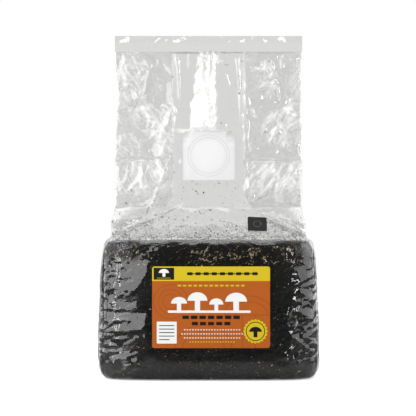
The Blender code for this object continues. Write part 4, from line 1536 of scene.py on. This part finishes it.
# The label's plain print, back to front, in millimetres from its middle.
LABEL_PRINT = (
    # Line work on the ground
    *(disc("pattern", -43.0, 6.0, radius, radius, line=0.35) for radius in (18.0, 13.0, 8.0)),
    disc("pattern", 40.0, -8.0, 26.0, 20.0, foot=0.0, line=0.4),
    disc("pattern", 40.0, -8.0, 20.0, 14.0, foot=0.0, line=0.35),
    bar("pattern", 40.0, -8.2, 26.0, 0.4),
    *(bar("pattern", across, -26.0, 0.4, 17.5) for across in (33.0, 47.0)),
    disc("pattern", -8.0, -43.0, 30.0, 24.0, foot=0.0, line=0.4),
    disc("pattern", -8.0, -43.0, 22.0, 17.0, foot=0.0, line=0.35),
    # Header with a mushroom in a dark box and two rows
    bar("header", 0.0, 35.6, 63.0, 7.75, 0.1),
    bar("ink", -50.0, 35.6, 10.9, 6.3, 0.5),
    *mushroom("white", -50.0, 33.0, 10.8, 4.2, 3.2, 3.4),
    bar("header", -50.0, 31.0, 0.7, 0.4, 0.35, 7.0, 2.2),
    bar("ink", 12.0, 35.6, 3.2, 1.6, 1.5, 37.8, 8.6),
    bar("ink", 12.0, 35.6, 0.8, 0.8, 0.8, 37.8, 4.3),
    # Four mushrooms on a line, under a row
    bar("header", 0.0, 23.0, 2.0, 0.9, 0.9, 36.0, 5.6),
    *mushroom("white", -34.0, -3.0, 17.0, 7.0, 4.6, 7.0),
    *mushroom("white", -14.5, -3.0, 21.0, 9.0, 5.6, 10.0),
    *mushroom("white", 5.5, -3.0, 15.0, 6.5, 4.0, 6.0),
    *mushroom("white", 26.5, -3.0, 23.0, 9.5, 6.0, 9.0),
    bar("white", -2.0, -4.6, 44.0, 1.3, 1.3),
    # Rows of bars, large and small
    bar("ink", 0.0, -10.6, 3.5, 1.8, 0.9, 31.0, 9.0),
    bar("ink", 0.0, -17.2, 3.3, 1.8, 0.9, 21.0, 8.6),
    bar("white", 1.0, -23.8, 0.85, 0.55, 0.5, 30.0, 2.9),
    bar("white", 1.0, -28.1, 0.85, 0.55, 0.5, 33.0, 2.9),
    bar("white", 1.0, -32.4, 0.85, 0.55, 0.5, 31.0, 2.9),
    bar("header", 1.0, -36.7, 0.85, 0.55, 0.5, 24.2, 2.9),
    # List sheet
    bar("white", -47.0, -26.8, 10.6, 11.6, 0.8),
    *(bar("ink", -47.0, up, 8.2, 0.45) for up in (-19.4, -23.1, -26.8, -30.5)),
    bar("ink", -49.6, -34.2, 5.6, 0.45),
    # Round badge
    disc("header", 47.0, -25.5, 12.4, 12.4, petals=20.0),
    disc("ink", 47.0, -25.5, 9.8, 9.8, line=0.45),
    *mushroom("ink", 47.0, -31.2, 13.4, 5.4, 4.2, 5.2),
)


def make_label(colours):
    """A plain printed label: yellow header, orange field and mushroom shapes, without any lettering."""
    made, tree, place = new_material("printed_label")
    at = split_place(tree, place)
    centre = (LABEL_LOW + LABEL_HIGH) / 2
    x = times(tree, minus(tree, at["X"], centre.x), 1000.0)
    z = times(tree, minus(tree, at["Z"], centre.z), 1000.0)
    groups = {"row": print_row_group(), "disc": print_disc_group()}
    darker, lighter = (tuple(share * value for value in colours.label_field) for share in (0.93, 1.05))
    shade = mix_colour(tree, noise_texture(tree, place, 60.0, 3.0), darker, lighter)
    for kind, colour, values in LABEL_PRINT:
        inputs = {"X": x, "Z": z, **dict(enumerate(values, 2))}
        mark = add_node(tree, "ShaderNodeGroup", inputs, node_tree=groups[kind])
        shade = mix_colour(tree, mark.outputs["Mask"], shade, getattr(colours, "label_" + colour))
    inputs = {"Roughness": 0.42, "Specular IOR Level": 0.3, "Base Color": shade}
    surface(tree, principled(tree, inputs))
    dress_node("label", made)


# Stage


# The lamps, as (name, azimuth, distance, height, width, length, power setting, share of it).
LAMPS = (
    ("left_softbox", -51.0, 1.25, 0.42, 1.55, 1.5, "left_power", 1.0),
    ("right_softbox", 76.0, 1.25, 0.36, 1.30, 1.4, "right_power", 1.0),
    ("left_strip", -56.0, 1.15, 0.50, 0.12, 0.9, "strip_power", 0.40),
    ("right_strip", 37.0, 1.15, 0.50, 0.07, 0.9, "strip_power", 0.60),
    ("left_wrap", -108.0, 1.30, 0.40, 1.1, 1.3, "wrap_power", 1.0),
    ("right_wrap", 126.0, 1.30, 0.40, 0.9, 1.3, "wrap_power", 0.3),
    ("front_fill", 20.0, 1.70, 1.25, 1.3, 0.8, "fill_power", 1.0),
    ("top_softbox", 0.0, 0.25, 1.50, 1.2, 0.8, "top_power", 1.0),
)
LAMP_TARGET = (0.0, 0.0, 0.17)
SENSOR_WIDTH = 36.0


def aim(obj, target):
    """Turns a lamp or the camera towards a point."""
    direction = Vector(target) - obj.location
    obj.rotation_euler = direction.to_track_quat("-Z", "Y").to_euler()


def add_lamp(name, azimuth, distance, height, width, length, power):
    """A soft rectangular lamp round the bag. Azimuth 0 is in front, and it grows to the right."""
    data = bpy.data.lights.new(name, "AREA")
    data.shape = "RECTANGLE"
    data.size, data.size_y = width, length
    data.energy = power
    lamp = bpy.data.objects.new(name, data)
    bpy.context.scene.collection.objects.link(lamp)
    turn = math.radians(azimuth)
    lamp.location = (math.sin(turn) * distance, -math.cos(turn) * distance, height)
    lamp.visible_glossy = name != "front_fill"
    aim(lamp, LAMP_TARGET)


def backdrop_rays(tree):
    """The kinds of ray, which of them see the white backdrop, and how white it is: less through film."""
    rays = add_node(tree, "ShaderNodeLightPath").outputs
    seen = math_node(tree, "MAXIMUM", rays["Is Camera Ray"], rays["Is Transmission Ray"])
    through = math_node(tree, "GREATER_THAN", rays["Transparent Depth"], 0.5)
    return rays, seen, minus(tree, 1.0, times(tree, through, 0.16))


def studio_world():
    """White behind the bag for the camera and for reflections, and a dim room in front of it."""
    world = bpy.data.worlds.new("studio")
    bpy.context.scene.world = world
    world.use_nodes = True
    tree = world.node_tree
    tree.nodes.clear()
    direction = split_place(tree, add_node(tree, "ShaderNodeTexCoord").outputs["Generated"])
    open_side = plus(tree, direction["Y"], times(tree, direction["Z"], 0.9))
    behind = ramp(tree, plus(tree, open_side, 0.3), ((0.0, 0.022), (0.95, 0.95)))
    _, seen, whiteness = backdrop_rays(tree)
    room = shader(tree, "ShaderNodeBackground", {"Color": WHITE, "Strength": behind})
    white = shader(tree, "ShaderNodeBackground", {"Color": WHITE, "Strength": whiteness})
    surface(tree, mix_shader(tree, seen, room, white), "ShaderNodeOutputWorld")


def make_floor():
    """A pale sweep that stays white to the camera and keeps the bag's soft shadow, with painted shade where
    reflections see it.
    """
    bpy.ops.object.select_all(action="DESELECT")
    bpy.ops.mesh.primitive_plane_add(size=14.0, location=(0.0, 0.0, -0.0002))
    floor = bpy.context.object
    floor.name = "studio_floor"
    made, tree, place = new_material("pale_floor")
    rays, seen, whiteness = backdrop_rays(tree)

    # Painted shade in reflections: the floor is grey near the bag and near black away from it, standing in
    # for the light falling off.
    at = split_place(tree, place)
    beside = minus(tree, math_node(tree, "ABSOLUTE", at["X"]), FILM_HIGH.x)
    before = minus(tree, math_node(tree, "ABSOLUTE", at["Y"]), FILM_HIGH.y)
    painted_falloff = ramp(tree, math_node(tree, "MAXIMUM", beside, before), ((0.010, 0.0), (0.13, 1.0)))
    reflected_floor_shade = mix_colour(tree, painted_falloff, (0.34, 0.34, 0.34), (0.015, 0.015, 0.015))
    shade = mix_colour(tree, rays["Is Glossy Ray"], (0.6, 0.6, 0.6), reflected_floor_shade)
    card = principled(tree, {"Base Color": shade, "Roughness": 0.9})
    lift = times(tree, seen, 0.58)
    glow = shader(tree, "ShaderNodeEmission", {"Color": WHITE, "Strength": lift})
    near = shader(tree, "ShaderNodeAddShader", {0: card, 1: glow})

    reach = add_node(tree, "ShaderNodeVectorMath", {0: place}, operation="LENGTH").outputs["Value"]
    far = ramp(tree, times(tree, reach, 0.5), ((0.12, 0.0), (0.42, 1.0)))
    white = shader(tree, "ShaderNodeEmission", {"Color": WHITE, "Strength": whiteness})
    surface(tree, mix_shader(tree, times(tree, far, seen), near, white))
    floor.data.materials.append(made)


def make_studio(studio):
    """The floor, the lamps and the camera, with enough bounces for many layers of film."""
    scene = bpy.context.scene
    scene.view_settings.view_transform = "Standard"
    scene.cycles.max_bounces = 16
    scene.cycles.transparent_max_bounces = 48
    scene.cycles.glossy_bounces = 6
    scene.cycles.sample_clamp_indirect = 6.0
    studio_world()
    make_floor()
    for *lamp, power, share in LAMPS:
        add_lamp(*lamp, getattr(studio, power) * share)

    camera_data = bpy.data.cameras.new("camera")
    camera = bpy.data.objects.new("camera", camera_data)
    scene.collection.objects.link(camera)
    target = Vector((studio.aim_across, 0.0, studio.aim_height))
    lift = studio.camera_elevation
    camera.location = target + studio.camera_distance * Vector((0.0, -math.cos(lift), math.sin(lift)))
    aim(camera, target)
    camera_data.sensor_width = SENSOR_WIDTH
    camera_data.lens = SENSOR_WIDTH * studio.camera_distance / studio.frame_width
    scene.camera = camera


# Operators


class GROWBAG_OT_film(bpy.types.Operator):
    """Loft and crease the clear film and its heat seal"""

    bl_idname = "grow_bag.film"
    bl_label = "Film"

    def execute(self, context):
        make_film(context.scene.grow_bag_film, context.scene.grow_bag_colours)
        make_seal(context.scene.grow_bag_film, context.scene.grow_bag_colours)
        return {"FINISHED"}


class GROWBAG_OT_substrate(bpy.types.Operator):
    """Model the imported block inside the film"""

    bl_idname = "grow_bag.substrate"
    bl_label = "Substrate"

    def execute(self, context):
        scene = context.scene
        make_substrate(scene.grow_bag_film, scene.grow_bag_substrate, scene.grow_bag_colours)
        return {"FINISHED"}


class GROWBAG_OT_particles(bpy.types.Operator):
    """Scatter the golden flakes and the loose crumbs"""

    bl_idname = "grow_bag.particles"
    bl_label = "Flakes and Crumbs"

    def execute(self, context):
        scene = context.scene
        make_flakes(scene.grow_bag_film, scene.grow_bag_substrate, scene.grow_bag_colours)
        make_crumbs(scene.grow_bag_film, scene.grow_bag_substrate)
        return {"FINISHED"}


class GROWBAG_OT_fittings(bpy.types.Operator):
    """Finish the filter patch and the injection port"""

    bl_idname = "grow_bag.fittings"
    bl_label = "Filter and Port"

    def execute(self, context):
        make_filter(context.scene.grow_bag_colours)
        make_port(context.scene.grow_bag_colours)
        return {"FINISHED"}


class GROWBAG_OT_label(bpy.types.Operator):
    """Print the label"""

    bl_idname = "grow_bag.label"
    bl_label = "Label"

    def execute(self, context):
        make_label(context.scene.grow_bag_colours)
        return {"FINISHED"}


class GROWBAG_OT_studio(bpy.types.Operator):
    """Set up the floor, the lamps and the camera"""

    bl_idname = "grow_bag.studio"
    bl_label = "Studio"

    def execute(self, context):
        make_studio(context.scene.grow_bag_studio)
        return {"FINISHED"}


class GROWBAG_PT_panel(bpy.types.Panel):
    """Lists the grow bag's pieces and their settings"""

    bl_idname = "GROWBAG_PT_panel"
    bl_label = "Grow Bag"
    bl_space_type = "VIEW_3D"
    bl_region_type = "UI"
    bl_category = "Grow Bag"

    def draw(self, context):
        column = self.layout.column(align=True)
        for operator in OPERATORS:
            column.operator(operator.bl_idname)
        for name, group in SETTINGS.items():
            box = self.layout.box()
            for setting in group.__annotations__:
                box.prop(getattr(context.scene, name), setting)


OPERATORS = (
    GROWBAG_OT_film,
    GROWBAG_OT_substrate,
    GROWBAG_OT_particles,
    GROWBAG_OT_fittings,
    GROWBAG_OT_label,
    GROWBAG_OT_studio,
)
CLASSES = (*SETTINGS.values(), *OPERATORS, GROWBAG_PT_panel)


def register():
    for cls in CLASSES:
        bpy.utils.register_class(cls)
    for name, group in SETTINGS.items():
        setattr(bpy.types.Scene, name, PointerProperty(type=group))


def unregister():
    for name in SETTINGS:
        delattr(bpy.types.Scene, name)
    for cls in reversed(CLASSES):
        bpy.utils.unregister_class(cls)


def main():
    register()
    bpy.ops.grow_bag.film()
    bpy.ops.grow_bag.substrate()
    bpy.ops.grow_bag.particles()
    bpy.ops.grow_bag.fittings()
    bpy.ops.grow_bag.label()
    bpy.ops.grow_bag.studio()


if __name__ == "__main__":
    main()
